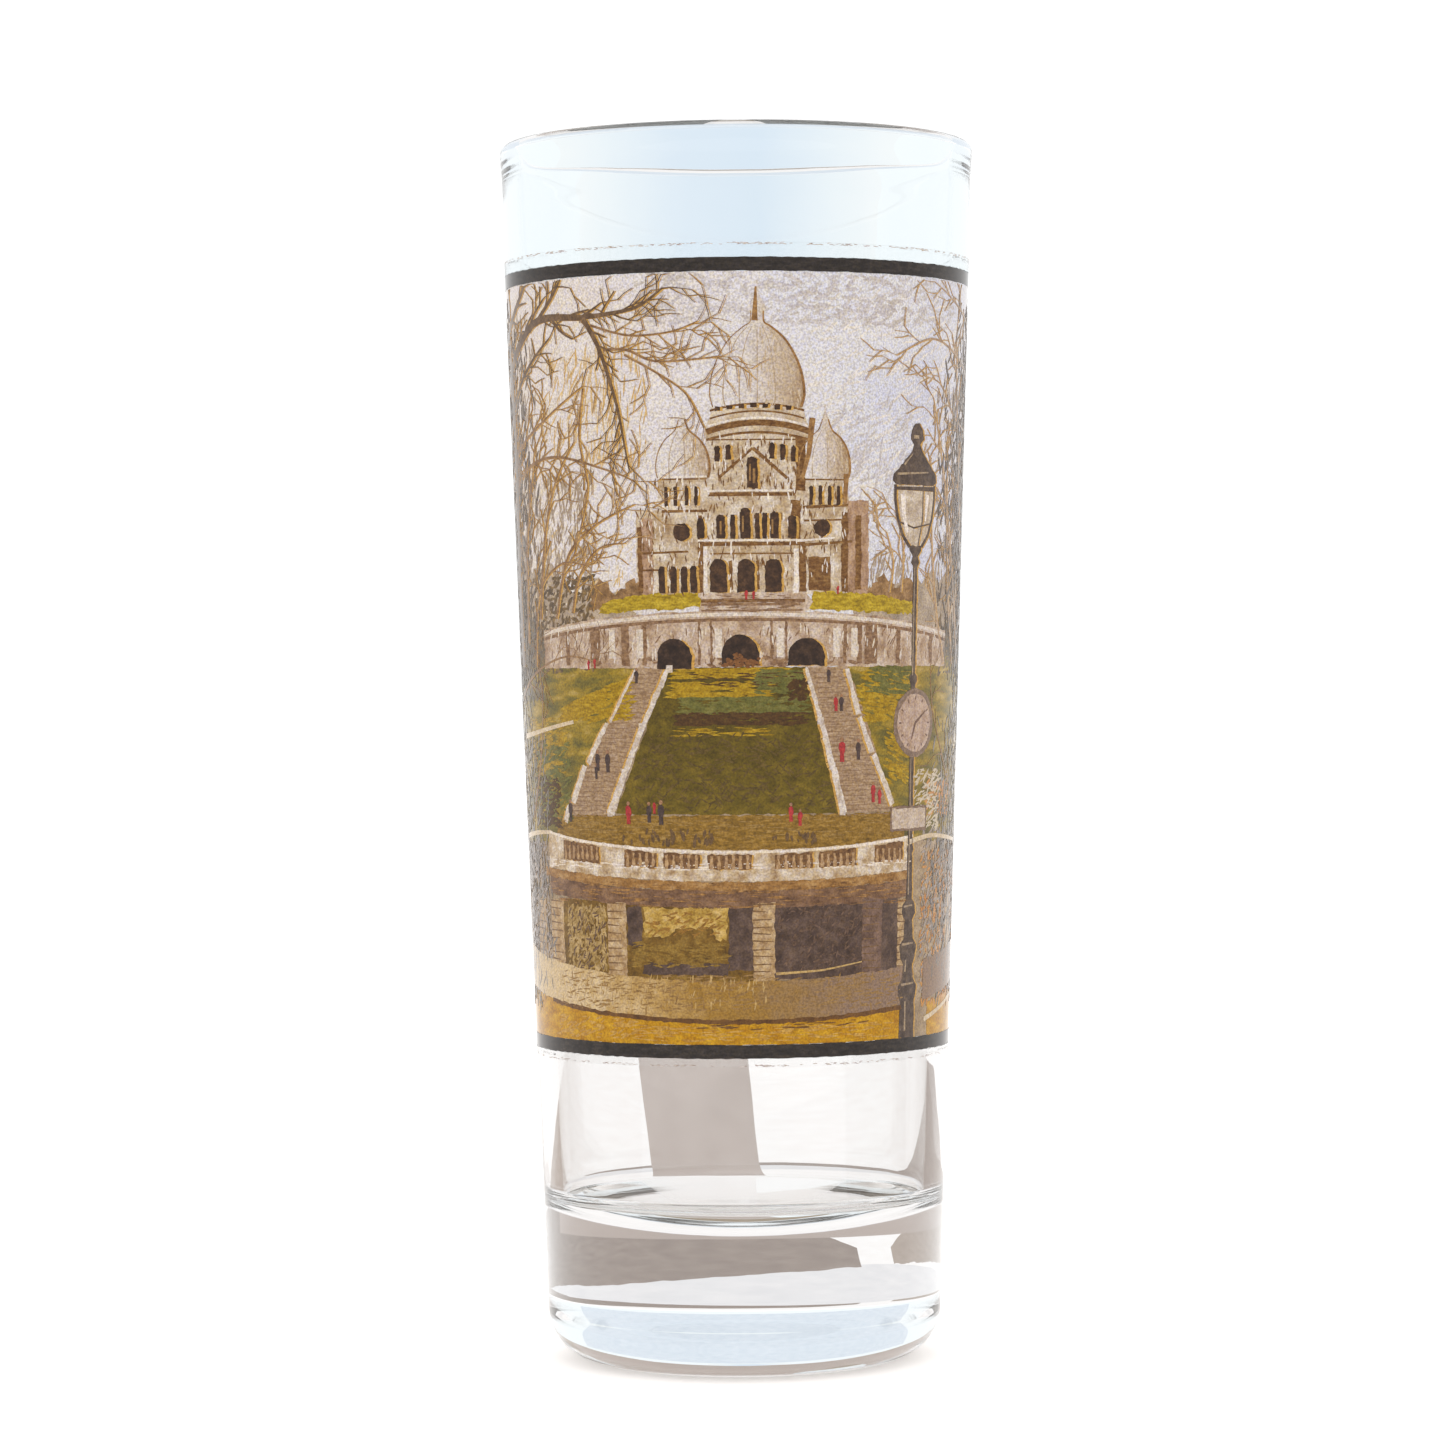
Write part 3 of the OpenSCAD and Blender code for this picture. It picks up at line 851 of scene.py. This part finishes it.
def paint_balustrade():
    """The curved cream balustrade, with dark gaps between its small turned posts."""
    hand.seed(91)
    low, high = bow(42.0, 42.9), bow(44.6, 46.0)
    ink("balustrade", [rough(band(-20.6, 17.0, low, high), 0.07, 0.4)], 7, "9c805c baa484 cec0ac dcd4c8",
        1.0, detail=8)
    gaps = [(-18.0, -13.3), (-10.6, -7.5), (-6.9, -3.6), (-2.9, 0.8), (2.8, 6.1), (6.7, 10.3), (12.2, 15.6)]
    fringed("balustrade_gaps", [rough(band(a, b, lambda u: low(u) + 1.0, lambda u: high(u) - 0.35), 0.08,
        0.3) for a, b in gaps], 8, 0.16, "543822 745434 967246", 0.4)
    posts = []
    for a, b in gaps:
        count = round((b - a) / 0.62)
        for i in range(count):
            u, v = a + (i + 0.5) * (b - a) / count, low(a) + 1.0
            posts.append(rough(turned(u, [(0.12, v), (0.18, v + 0.35), (0.09, v + 0.7), (0.13, v + 1.15)]),
                0.05, 0.3))
    ink("balusters", posts, 9, "96744c bea07a", 0.4)
    ink("balustrade_ledge", [rough(band(-21.4, 17.0, lambda u: low(u) - 0.75, low), 0.08, 0.4)], 7,
        "7c5628 9a723e b28e5c", 1.0, squeeze=2, detail=8)
    ink("soffit", [rough(band(-20.6, 16.6, lambda u: low(u) - 2.2, lambda u: low(u) - 0.75), 0.08, 0.4)],
        6, "563c2a 785a42 927254", 1.2, squeeze=2, detail=8)
    ink("coping_light", [along(high, -20.4, 17, -0.14, 0.22)]
        + dabs(90, -20, 43, 17, 43.6, 1.2, 0.14, 0, 6), 8, "d6c8b4 e8e0d6", 1.0)
    ink("ledge_marks", dabs(130, -20, 39.9, 16, 41.9, 1.6, 0.12, 0, 5), 8, "5c3e24 b4884e", 0.5)


def paint_undercroft():
    """Rusticated pillars with dim bays between them, the low wall in front, and the golden path."""
    hand.seed(101)
    ink("bays", [rough(rect(-18.5, 33.5, 3.0, 40.3), 0.05, 0.5)], 4, "543c10 76581c 967836", 1.0, detail=8)
    ink("bay_darks", roughed([rect(2.6, 33.8, 15.4, 40.6), rect(-10.5, 36.6, -9.0, 39.9),
        rect(-1.2, 34.6, 1.0, 40.0), band(-9, -1.2, 34.2, 35.2)], 0.1, 0.4), 5, "3e2e26 56443a 6c584c",
        0.9, detail=8)
    ink("bay_leaves", dabs(420, -17.8, 34.4, -12.8, 39.8, 0.7, 0.24, 60, 60), 6, "866c36 a68a54 bea474",
        0.6, detail=8)
    ink("bay_ripples", dabs(150, -9.8, 34.9, -1.4, 36.9, 1.1, 0.16, 0, 16), 6, "785c1e 987a36", 0.5)
    ink("bay_dusk_marks", dabs(160, 3, 34.6, 11, 40, 0.7, 0.16, 30, 60)
        + dabs(80, -17.8, 34.4, -12.8, 39.8, 0.7, 0.14, 60, 60), 7, "4c382a 765e4e", 0.4)
    glow = [(-8.8, 37.3), (-6.8, 37.4), (-5.8, 38.1), (-2.6, 38.2), (-2.3, 37.1), (-1.3, 37.2),
        (-1.3, 39.8), (-8.8, 39.8)]
    ink("bay_glow", [rough(glow, 0.14, 0.3)], 6, "927020 b8984a d0b476", 0.8, squeeze=1.4, detail=8)
    ink("bay_glow_marks", dabs(60, -8.4, 37.6, -1.6, 39.4, 0.8, 0.18, 10, 30), 7, "805a22 a67e36", 0.5)
    ink("pillars", [rough(rect(a, 33.6, b, 40.2), 0.08, 0.3)
        for a, b in ((-20.6, -18.4), (-12.6, -10.6), (0.9, 2.8), (15.1, 16.4), (-23.8, -21.8), (-29, -27),
        (24, 26))], 6.2, "927248 b2966e cab492", 0.7, detail=8)
    ink("pillar_dusk", [rough(rect(11.0, 33.8, 13.2, 40.4), 0.08, 0.3)], 6.2, "5c463a 745c4e 8a7060", 0.8,
        detail=7)
    joints = []
    for a, b in ((-20.6, -18.6), (-12.6, -10.6), (0.9, 2.8), (11.1, 13.1), (15.1, 16.3), (-23.8, -21.8)):
        joints += [ribbon([(a, 34.5 + 0.62 * i + hand.uniform(-0.1, 0.1)),
            (b - hand.uniform(0, 0.6), 34.5 + 0.62 * i)], 0.13, 0.06) for i in range(10)]
    ink("pillar_joints", joints, 7, "60462c 866846", 0.5)
    wall_top, wall_low = bow(33.7, 35.0), bow(30.4, 31.6)
    ink("low_wall", roughed([band(-U_END, 16.2, wall_low, wall_top), band(19, U_END, wall_low, wall_top)],
        0.08, 0.5), 7.1, "ceb890 b6965c 98742e 927448 8c7460", 1.6, across=(-19, 13), weight=0.6,
        spread=(0.24, 0.76), detail=8)
    ink("low_wall_marks", dabs(330, -19, 31.2, 15.6, 34.2, 1.0, 0.13, 4, 12)
        + dabs(60, -19, 31.2, 15.6, 34.0, 0.8, 0.13, 90, 20), 8, "88683a 9e7e4c", 0.5)
    ink("low_wall_lights", dabs(120, -19.5, 31.6, 2, 34, 0.7, 0.1, 80, 16)
        + [ribbon([(2.9, 34.3), (7, 34.5), (11, 35.1)], 0.22, 0.1)], 8.2, "b09054 c4a874", 0.5)
    ink("path", roughed([band(-U_END, 16.4, V_LOW, wall_low),
        band(20, U_END, V_LOW, lambda u: wall_low(u) - 0.4)], 0.05, 0.5), 4, "a67402 b88808 cca022", 1.2,
        squeeze=2, detail=8)
    ink("path_shadow", [rough(along(wall_low, -21, 15.8, -0.08, 0.36), 0.07, 0.4)]
        + dabs(22, -4, 29.7, 12, 30.3, 1.2, 0.1, 2, 5), 8, "583a1a 78542a")
    ink("path_marks", dabs(90, -20, 28.7, -10, 30.6, 1.0, 0.2, 15, 20)
        + dabs(140, -10, 28.7, 15, 30, 1.4, 0.12, 0, 6), 5, "a87a2c caa454", 0.5)


def paint_sides():
    """What lies round the sides: garden ground, tree crowns and thickets in the same inks."""
    hand.seed(111)
    ink("ground", [rect(-U_END, V_LOW, U_END, 58)], 1, "826e54 9e8a6e b4a086", 2.4, squeeze=1.6, detail=8)
    marks = dabs(420, 18.4, 31, 25.8, 44, 0.8, 0.22, 60, 60) + dabs(90, 19, 47, 24, 50, 1.0, 0.3, 10, 30)
    for u0, u1 in ((26, U_END - 1), (1 - U_END, -30)):
        marks += dabs(420, u0, 32, u1, 44, 1.3, 0.5, 40, 60)
    ink("rust_leaves", marks, 5, "ac7030 c48e4e d0a874", 0.8, detail=7)
    ink("grey_leaves", dabs(420, 18.6, 32, 27, 46, 0.9, 0.26, 60, 60)
        + dabs(460, -28, 32, -20.8, 45, 0.9, 0.26, 60, 60), 6.1, "867a70 9c9086 aca096", 0.8, detail=7)

    def in_crown(u, v):
        return hand.random() < 1.5 - 1.5 * math.hypot((abs(u) - 27.5) / 8.5, (v - 73) / 21)

    def in_thicket(u, v):
        return hand.random() < 1.4 - 1.4 * math.hypot((abs(u) - 27.0) / 9.0, (v - 44) / 18)

    for name, low, high, count, height, keep, tones in (("side_crowns", 58, 91, 1000, 7.3, in_crown,
            "5e544c 72685f 887e75"), ("side_thickets", 31, 61, 800, 7.35, in_thicket,
            "68625c 7e7872 96918c")):
        strokes = []
        for u0, u1 in ((-36, -20), (20, 36)):
            strokes += dabs(count, u0, low, u1, high, 1.5, 0.2, 80, 40, keep)
        ink(name, cropped(strokes, V_LOW + 0.1), height, tones, 2.0, squeeze=0.5, detail=8)
    ink("side_haze", dabs(150, 17.2, 46, 21.5, 51, 0.9, 0.2, 20, 40), 7.45, "beb098 ccc0ac", 0.8)
    ink("pale_paths", [ribbon(smooth_line(line), 0.45, 0.3)
        for line in ([(19.4, 29.8), (22, 30.4), (27, 31.6)], [(15.8, 44.8), (20, 45.4), (27, 44.8)],
        [(-27, 45.4), (-23, 45.8), (-20.4, 45.9)], [(-26, 54.0), (-22, 54.4), (-16, 55.3)])], 8.1,
        "c4b08e d4c6ac")


def paint_lamp():
    """A plain cast street lamp with a blank finger plate and a clock dial that has no numerals."""
    hand.seed(121)
    u = 16.6
    post = [(1.1, V_LOW), (1.0, 31.4), (1.25, 32.1), (1.3, 32.8), (0.75, 33.5), (0.65, 34.6), (1.0, 35.2),
        (1.2, 36.2), (0.7, 36.8), (0.55, 38.3), (0.95, 39.0), (0.9, 39.6), (0.42, 40.1), (0.34, 44.0),
        (0.5, 44.3), (0.34, 44.7), (0.3, 52.0), (0.28, 58.2), (0.5, 58.5), (0.5, 58.9), (0.26, 59.2),
        (0.26, 68.2), (0.55, 68.5), (0.35, 69.0), (0.75, 69.5), (0.8, 69.9)]
    hood = [(2.5, 75.0), (2.9, 75.3), (2.8, 75.9), (2.0, 76.6), (1.2, 77.3), (0.65, 77.9), (0.4, 78.4),
        (0.85, 78.9), (0.75, 79.6), (0.25, 80.2)]
    pane = turned(u, [(0.8, 69.8), (1.7, 70.8), (2.3, 72.2), (2.6, 73.8), (2.6, 75.1)])
    ink("lamp_panes", [rough(pane, 0.04, 0.4)], 7, "a89680 c2b4a2 d2c8ba", 0.9, detail=7)
    ribs = [ribbon([(u + w * s, v) for w, v in ((0.8, 69.8), (1.7, 70.8), (2.3, 72.2), (2.6, 73.8),
        (2.6, 75.0))], 0.3, 0.26) for s in (-1, 1)]
    ribs += [ribbon([(u + 0.3, 69.9), (u + 0.9, 72.2), (u + 0.9, 75.0)], 0.14, 0.12),
        ribbon([(u - 2.6, 74.7), (u + 2.6, 74.7)], 0.26, 0.4),
        ribbon([(u - 2.2, 71.9), (u - 0.3, 71.4), (u + 2.1, 71.8)], 0.16, 0.12)]
    fringed("lamp_iron", roughed([turned(u, post), turned(u, hood)], 0.05, 0.4) + ribs, 8, 0.18,
        "423630 584a40 706052", 0.6, detail=7)
    glints = [rect(u - 0.5, 78.9, u + 0.2, 79.2)]
    for u0, v0, u1, v1, w in ((-2.4, 75.9, 1.6, 76.1, .2), (-0.9, 36.3, .7, 36.4, .22),
            (-0.9, 32.9, .8, 33.0, .22), (-0.7, 39.5, .5, 39.6, .18), (-0.12, 40.5, -0.1, 46, .14),
            (-0.1, 48, -0.1, 52, .12), (-0.1, 59, -0.08, 68, .12), (-0.4, 34, -0.3, 35, .2),
            (-0.3, 29, -0.3, 31.5, .24), (-1.6, 76.7, -0.6, 77.6, .16)):
        glints.append(ribbon([(u + u0, v0), (u + u1, v1)], w, w * 0.6))
    ink("lamp_shine", [ribbon([(u - 1.1, 71.0), (u - 1.6, 72.6), (u - 1.7, 74.2)], 0.3, 0.6),
        ribbon([(u + 1.3, 72.0), (u + 1.6, 74.2)], 0.2, 0.4)], 8.1, "ded4ca eee7e0", 0.6)
    ink("lamp_glints", glints, 9, "8e7a64 b29e82", 0.5)
    dial = (17.0, 55.0)
    ink("dial_rim", [rough(ellipse(*dial, 2.8, 2.9, 0, 40), 0.06, 0.3)], 8.5, "705c4e 947e6c", 0.6)
    ink("dial_face", [rough(ellipse(*dial, 2.35, 2.45, 0, 40), 0.06, 0.3)], 9, "9e826c b49c8a c2ae9e", 0.8,
        detail=8)
    hands = [ribbon([dial, (dial[0] + 1.5, dial[1] + 1.0)], 0.26, 0.12),
        ribbon([dial, (dial[0] - 0.5, dial[1] - 1.4)], 0.26, 0.16)]
    ticks = [ribbon([(dial[0] + 1.85 * math.sin(a), dial[1] + 1.95 * math.cos(a)),
        (dial[0] + 2.15 * math.sin(a), dial[1] + 2.25 * math.cos(a))], 0.12, 0.12)
        for a in (math.radians(30 * i) for i in range(12))]
    ink("dial_marks", hands + ticks, 10, "644c40 7c6254", 0.5)
    ink("plate_edge", [rough(rect(14.0, 45.9, 19.0, 48.0), 0.06, 0.3)], 9, "705a4a 8c7460", 0.6)
    ink("plate", [rough(rect(14.2, 46.1, 18.8, 47.8), 0.06, 0.3)], 10, "b09c88 ccbeae", 0.7, squeeze=2,
        detail=7)


def paint_near_trees():
    """Bare limbs and twigs over the sky, and the trees round the back."""
    hand.seed(131)
    bark = dict(tones="564230 6a543e 846a4e", size=0.7, detail=7)
    twig = dict(tones="74563a 8e6e4c a68660", size=0.8, detail=7)
    limbs = []
    for points, start, end, twigs in (([(-25.6, 58), (-25.9, 68), (-25.2, 78), (-26.2, 88)], 1.3, 0.8,
            3.6), ([(-28, 83.6), (-23, 87.2), (-19, 89.2), (-13.6, 89.1)], 0.9, 0.5, 3.4),
            ([(-13.6, 89.1), (-10.5, 89.3), (-8, 89.8), (-6, 91.2)], 0.42, 0.16, 3.0),
            ([(-13.4, 89.1), (-12.2, 87.2), (-11.4, 85.4), (-10.2, 81.6), (-9.6, 78.4), (-9.2, 76.2)], 0.5,
            0.1, 2.4), ([(-28, 87.5), (-23.5, 90.5), (-21.4, 92.2)], 0.7, 0.36, 3.0),
            ([(-19.4, 89.0), (-17.2, 90.8), (-16.0, 92.2)], 0.42, 0.24, 3.0),
            ([(-28, 79.0), (-24.6, 82.6), (-21.0, 85.4), (-17.5, 87.6)], 0.6, 0.16, 3.0)):
        limbs += limb(points, start, end, twigs, 2, 2)
    fringed("limbs", cropped(limbs, 60), 8, 0.15, **bark)
    twigs = []
    for points, start, twig_length, droop in (([(-11.4, 86.3), (-9.2, 86.2), (-6.8, 85.2), (-3.2, 85.3),
            (-1.6, 85.5)], 0.24, 2.2, 0.0), ([(-9.4, 85.8), (-6.6, 84.2), (-4.2, 82.4), (-2.8, 79.6)],
            0.18, 2.0, 1.0), ([(-12.6, 88.4), (-9, 87.4), (-5.4, 87.6), (-3.2, 88.4)], 0.2, 2.2, 0.0),
            ([(-28, 75.5), (-24, 78.4), (-19, 80.6), (-13.6, 83.4)], 0.4, 3.2, 0.0),
            ([(-28, 73), (-22.5, 76.6), (-17, 77.6), (-11, 76.2), (-8.6, 75.2)], 0.36, 2.8, 0.5),
            ([(-20.5, 64), (-19.2, 71), (-17.4, 75.4), (-14.8, 78.8)], 0.4, 3.2, 0.0),
            ([(-17.8, 64), (-16, 69.2), (-12.6, 71.8), (-8.8, 73.4)], 0.28, 2.6, 0.0),
            ([(-23.5, 62), (-23, 70), (-21.5, 74.8), (-20.4, 79)], 0.5, 3.4, 0.0),
            ([(-26, 60), (-25.6, 70), (-24.4, 78), (-24.8, 86)], 0.6, 3.4, 0.0),
            ([(-15.6, 64.5), (-14.6, 67.6), (-12.4, 69.8), (-9.8, 70.2)], 0.22, 2.0, 0.0),
            ([(-21.8, 60), (-20.6, 66), (-17, 68.6), (-13.8, 68.4)], 0.3, 2.4, 0.5),
            ([(-13.6, 83.2), (-14.2, 79), (-13.4, 75), (-14.4, 71.4)], 0.2, 2.2, 0.0)):
        twigs += limb(points, start, 0.08, twig_length, 2, 2, droop=droop)
    fringed("twigs", cropped(twigs, 58), 7.6, 0.13, **twig)
    right = []
    for points, start, twig_length in (([(26, 60), (23.4, 68), (21.2, 75), (18.8, 82.4)], 0.5, 3.2),
            ([(28, 66), (25.4, 74), (23.8, 82), (23.2, 88)], 0.6, 3.4),
            ([(28, 84.6), (23.4, 86.2), (18.4, 87.4), (13.8, 85.8)], 0.3, 2.8),
            ([(28, 89), (23, 90.6), (18.6, 92.2)], 0.26, 2.4),
            ([(27, 80), (23, 81), (20, 83.6), (17.4, 84.2)], 0.24, 2.4),
            ([(21.6, 60), (19.8, 65), (19.0, 70), (18.6, 75)], 0.34, 2.6),
            ([(24, 60), (22.4, 66), (21.8, 72), (21.6, 78)], 0.34, 2.8),
            ([(13.4, 66), (13.8, 68.5), (13.0, 71.0)], 0.18, 1.8),
            ([(14.8, 66), (15.0, 69.5), (14.2, 72.6)], 0.18, 1.8)):
        right += limb(points, start, 0.07, twig_length, 2, 2)
    fringed("right_twigs", cropped(right, 58), 6.8, 0.12, "9c8268 ac9276 bca68c", 1.0, detail=7)
    low = limb([(26, 47), (22.4, 51.5), (19.8, 56), (19.2, 60)], 0.26, 0.08, 2.4, 2)
    low += limb([(-27, SKY_LOW), (-22, 59.4), (-16.6, 60.8), (-12.4, 60.2)], 0.3, 0.08, 2.4, 2)
    low += limb([(-24, 47), (-21.6, 52), (-20.8, SKY_LOW), (-21.4, 61)], 0.3, 0.08, 2.4, 2)
    ink("low_twigs", cropped(low, 46), 7.55, **twig)
    back = []
    for u in (-50, -41, -33, 34, 43, 51):
        fork = (u + hand.uniform(-1, 1), hand.uniform(66, 70))
        back += limb([(u, SKY_LOW), ((u + fork[0]) / 2 + 0.4, 62), fork], 1.1, 0.7, 3.0, 2, 4)
        for lean in (-5, -2, 1.5, 4.5):
            tip = (fork[0] + lean + hand.uniform(-1, 1), hand.uniform(80, 89) - abs(lean))
            bend = (fork[0] + lean * 0.65, (fork[1] + tip[1]) / 2)
            back += limb([fork, bend, tip], 0.55, 0.08, 4.0, 2)
    fringed("back_trees", cropped(back, SKY_LOW), 7.5, 0.14, **bark)


def paint_strollers():
    """Tiny figures on the stairs and the walk: a dark or red coat, a head, no more than a few dabs each."""
    hand.seed(141)

    def figure(u, v, size):
        legs = [ribbon([(u + a * size, v - 0.35 * size), (u + b * size, v + 0.3 * size)], 0.14 * size,
            0.16 * size) for a, b in ((-0.07, -0.06), (0.1, 0.06))]
        return [rough(ellipse(u, v + 0.55 * size, 0.24 * size, 0.42 * size, 0, 10), 0.04, 0.3)] + legs

    darks = [(-13.2, 51.6, 1.1), (-12.1, 51.5, 1.2), (-16.8, 47.3, 1.2), (-8.1, 47.3, 1.1),
        (-7.0, 47.2, 1.3), (10.4, 52.4, 1.1), (8.7, 56.4, 0.9), (-9.0, 58.8, 0.8), (7.5, 58.8, 0.8),
        (-13.4, 50.8, 0.8)]
    reds = [(-10.1, 47.2, 1.2), (-7.6, 47.9, 0.7), (4.2, 47.3, 1.0), (5.0, 46.9, 0.9), (8.8, 52.3, 1.3),
        (8.2, 56.4, 0.9), (12.0, 48.8, 1.1), (12.7, 48.6, 0.9), (0.5, 65.6, 0.6), (1.1, 65.6, 0.5),
        (-13.9, 59.9, 0.6), (-13.2, 60.0, 0.6), (8.3, 66.0, 0.5)]
    for name, group, tones in (("dark", darks, "3c302e 584842"), ("red", reds, "96282c b63e3c")):
        ink("strollers_" + name, [shape for person in group for shape in figure(*person)], 9, tones, 0.4)
    ink("stroller_heads", [ellipse(u, v + 1.08 * size, 0.14 * size, 0.15 * size, 0, 8)
        for u, v, size in darks + reds if size > 0.7], 9, "8c664a a88262", 0.3)


def build_picture():
    """Paints every ink. Where two inks overlap, their levels say which is on top."""
    for paint in (paint_sky, paint_sides, paint_far_trees, paint_hall, paint_terrace, paint_lawns,
            paint_stairs, paint_promenade, paint_balustrade, paint_undercroft, paint_near_trees,
            paint_lamp, paint_strollers):
        paint()

# ---------------------------------------------------------------- stage, light and camera


def build_stage():
    """A pale floor under a plain white studio."""
    shader = Shader("pale_floor")
    mottle = shader.noise(60.0, 3)
    shader.join(shader.ramp(mottle, "f6f6f6 fafafa"), shader.main.inputs["Base Color"])
    shader.constant(Roughness=0.9, Specular_IOR_Level=0.0, Emission_Strength=0.4,
                    Emission_Color=linear("fff4ec"))
    radius, corners, drop = 3.0, 64, 0.02 * MM       # the drop keeps the floor just under the foot ring
    turns = [2 * math.pi * i / corners for i in range(corners)]
    rim = [(radius * math.cos(a), radius * math.sin(a), 0) for a in turns]
    floor = placed("floor", rim, [tuple(range(corners))], shader.material)
    floor.location.z = -drop


def build_world():
    """A white studio. What the clear glass passes on is a little bluer, as its own surroundings were."""
    world = bpy.data.worlds.new("studio")
    bpy.context.scene.world = world
    world.use_nodes = True
    tree = world.node_tree
    background = tree.nodes["Background"]
    path = tree.nodes.new("ShaderNodeLightPath")
    mix = tree.nodes.new("ShaderNodeMix")
    mix.data_type = "RGBA"
    start, end = [s for s in mix.inputs if s.type == "RGBA"]
    start.default_value = (1.0, 1.0, 1.0, 1.0)
    end.default_value = linear("edf4f7")
    tree.links.new(path.outputs["Is Transmission Ray"], mix.inputs["Factor"])
    tree.links.new([s for s in mix.outputs if s.type == "RGBA"][0], background.inputs["Color"])
    background.inputs["Strength"].default_value = 1.1


def glass_card(name, corners, faces, tones, across=None):
    """A plain studio card that only the glass sees: it gives the clear glass its soft grey and blue tones.

    The tones are mottled, or laid side by side over the card's width when across gives its two ends.
    """
    shader = Shader(name)
    factor = shader.noise(8.0, 4)
    if across:
        factor = shader.graded(factor, "X", *across, 0.94)
    low, high = (0.03, 0.97) if across else (0.3, 0.7)
    shader.join(shader.ramp(factor, tones, low, high), shader.main.inputs["Emission Color"])
    shader.constant(Emission_Strength=1.0, Base_Color=(0, 0, 0, 1), Specular_IOR_Level=0.0)
    card = placed(name, [[c * MM for c in corner] for corner in corners], faces, shader.material)
    card.visible_camera = card.visible_diffuse = card.visible_glossy = card.visible_shadow = False


def between(value, low, high, at_low, at_high):
    """A straight change from at_low to at_high while value goes from low to high, constant outside."""
    share = min(max((value - low) / (high - low), 0.0), 1.0)
    return at_low + (at_high - at_low) * share


def sheet_card(name, start, end, edges, tones, ragged=0.0):
    """A card curved or laid out round the glass between two edges.

    Angles are in degrees from the camera's side. edges(angle) gives (radius, height) of both edges.
    """
    cuts = 96
    hand.seed(7)
    corners = []
    for i in range(cuts + 1):
        angle = start + (end - start) * i / cuts
        for r, z in edges(angle):
            r += hand.uniform(-ragged, ragged)
            corners.append((r * math.sin(math.radians(angle)), -r * math.cos(math.radians(angle)), z))
    glass_card(name, corners, [(2 * i, 2 * i + 1, 2 * i + 3, 2 * i + 2) for i in range(cuts)], tones)


def build_cards():
    """The cards round the glass: pale table, grey sheets, a grey strip and blue backgrounds."""
    white, near_white = "faf6f4 fffdfc", "e4e3e5 eeeced"
    grey, pale_grey = "90827a a09289", "a29286 b2a398"
    blue, heel = "d8e3ee e4edf6", "968672 a89884"

    def near_edge(angle):
        """Front edge of the grey sheet behind the glass, which runs away to the right."""
        return between(angle, 160, 195, 74, 92) + between(angle, 195, 245, 0, 16)

    def left_sheet(angle):
        far_edge = between(angle, 142, 160, 230, 136) - between(angle, 190, 199, 0, 20)
        return (near_edge(angle), 0.02), (far_edge, 0.02)

    def right_sheet(angle):
        return (near_edge(angle), 0.02), (between(angle, 209, 240, 118, 240), 0.02)

    sheet_card("card_floor", 0, 360, lambda angle: ((17.6, 0.005), (700, 0.005)), white)
    sheet_card("card_near", 0, 360, lambda angle: ((52, 0.01), (96, 0.01)), near_white)
    sheet_card("card_grey", 60, 199, left_sheet, grey, 0.6)
    sheet_card("card_grey_right", 209, 300, right_sheet, pale_grey, 1.2)
    glass_card("card_column", [(-8.6, 20, 9.5), (2.2, 20, 9.5), (0.4, 20, 25.2), (-10.7, 20, 25.2)],
        [(0, 1, 2, 3)], "ac9e96 b6a8a0 beb1a9")
    glass_card("card_rim", [(-42, 300, 96), (38, 300, 96), (38, 300, 175), (-42, 300, 175)], [(0, 1, 2, 3)],
               "f6fbfc ecf5fa dceaf6 dae9f6 ecf5fa f6fbfc", (-42, 38))
    sheet_card("card_back", 138, 222, lambda angle: ((300, 12), (300, 92)), blue)
    sheet_card("card_heel", 90, 270, lambda angle: ((60, 24.5), (60, 48)), heel)


def build_camera():
    """A level view from a little above the middle, as a product photograph is taken."""
    distance, height, aim_height, aim_x = 0.400, 0.0599, 0.0550, -0.00153
    width_at_axis, roll = 0.12557, 0.45
    data = bpy.data.cameras.new("camera")
    data.sensor_width = 36.0
    data.lens = data.sensor_width * distance / width_at_axis
    camera = bpy.data.objects.new("camera", data)
    bpy.context.scene.collection.objects.link(camera)
    camera.location = (aim_x, -distance, height)
    look = (Vector((aim_x, 0, aim_height)) - camera.location).to_track_quat("-Z", "Y")
    camera.rotation_euler = look.to_euler()
    camera.rotation_euler.rotate_axis("Z", math.radians(-roll))
    bpy.context.scene.camera = camera


build_camera()
build_stage()
build_world()
build_cards()
build_glass()
build_transfer()
build_picture()
bpy.context.scene.view_settings.view_transform = "Standard"
BOUNCES = 24       # light is caught many times in the thick base
for kind in ("max_bounces", "diffuse_bounces", "glossy_bounces", "transmission_bounces"):
    setattr(bpy.context.scene.cycles, kind, BOUNCES)
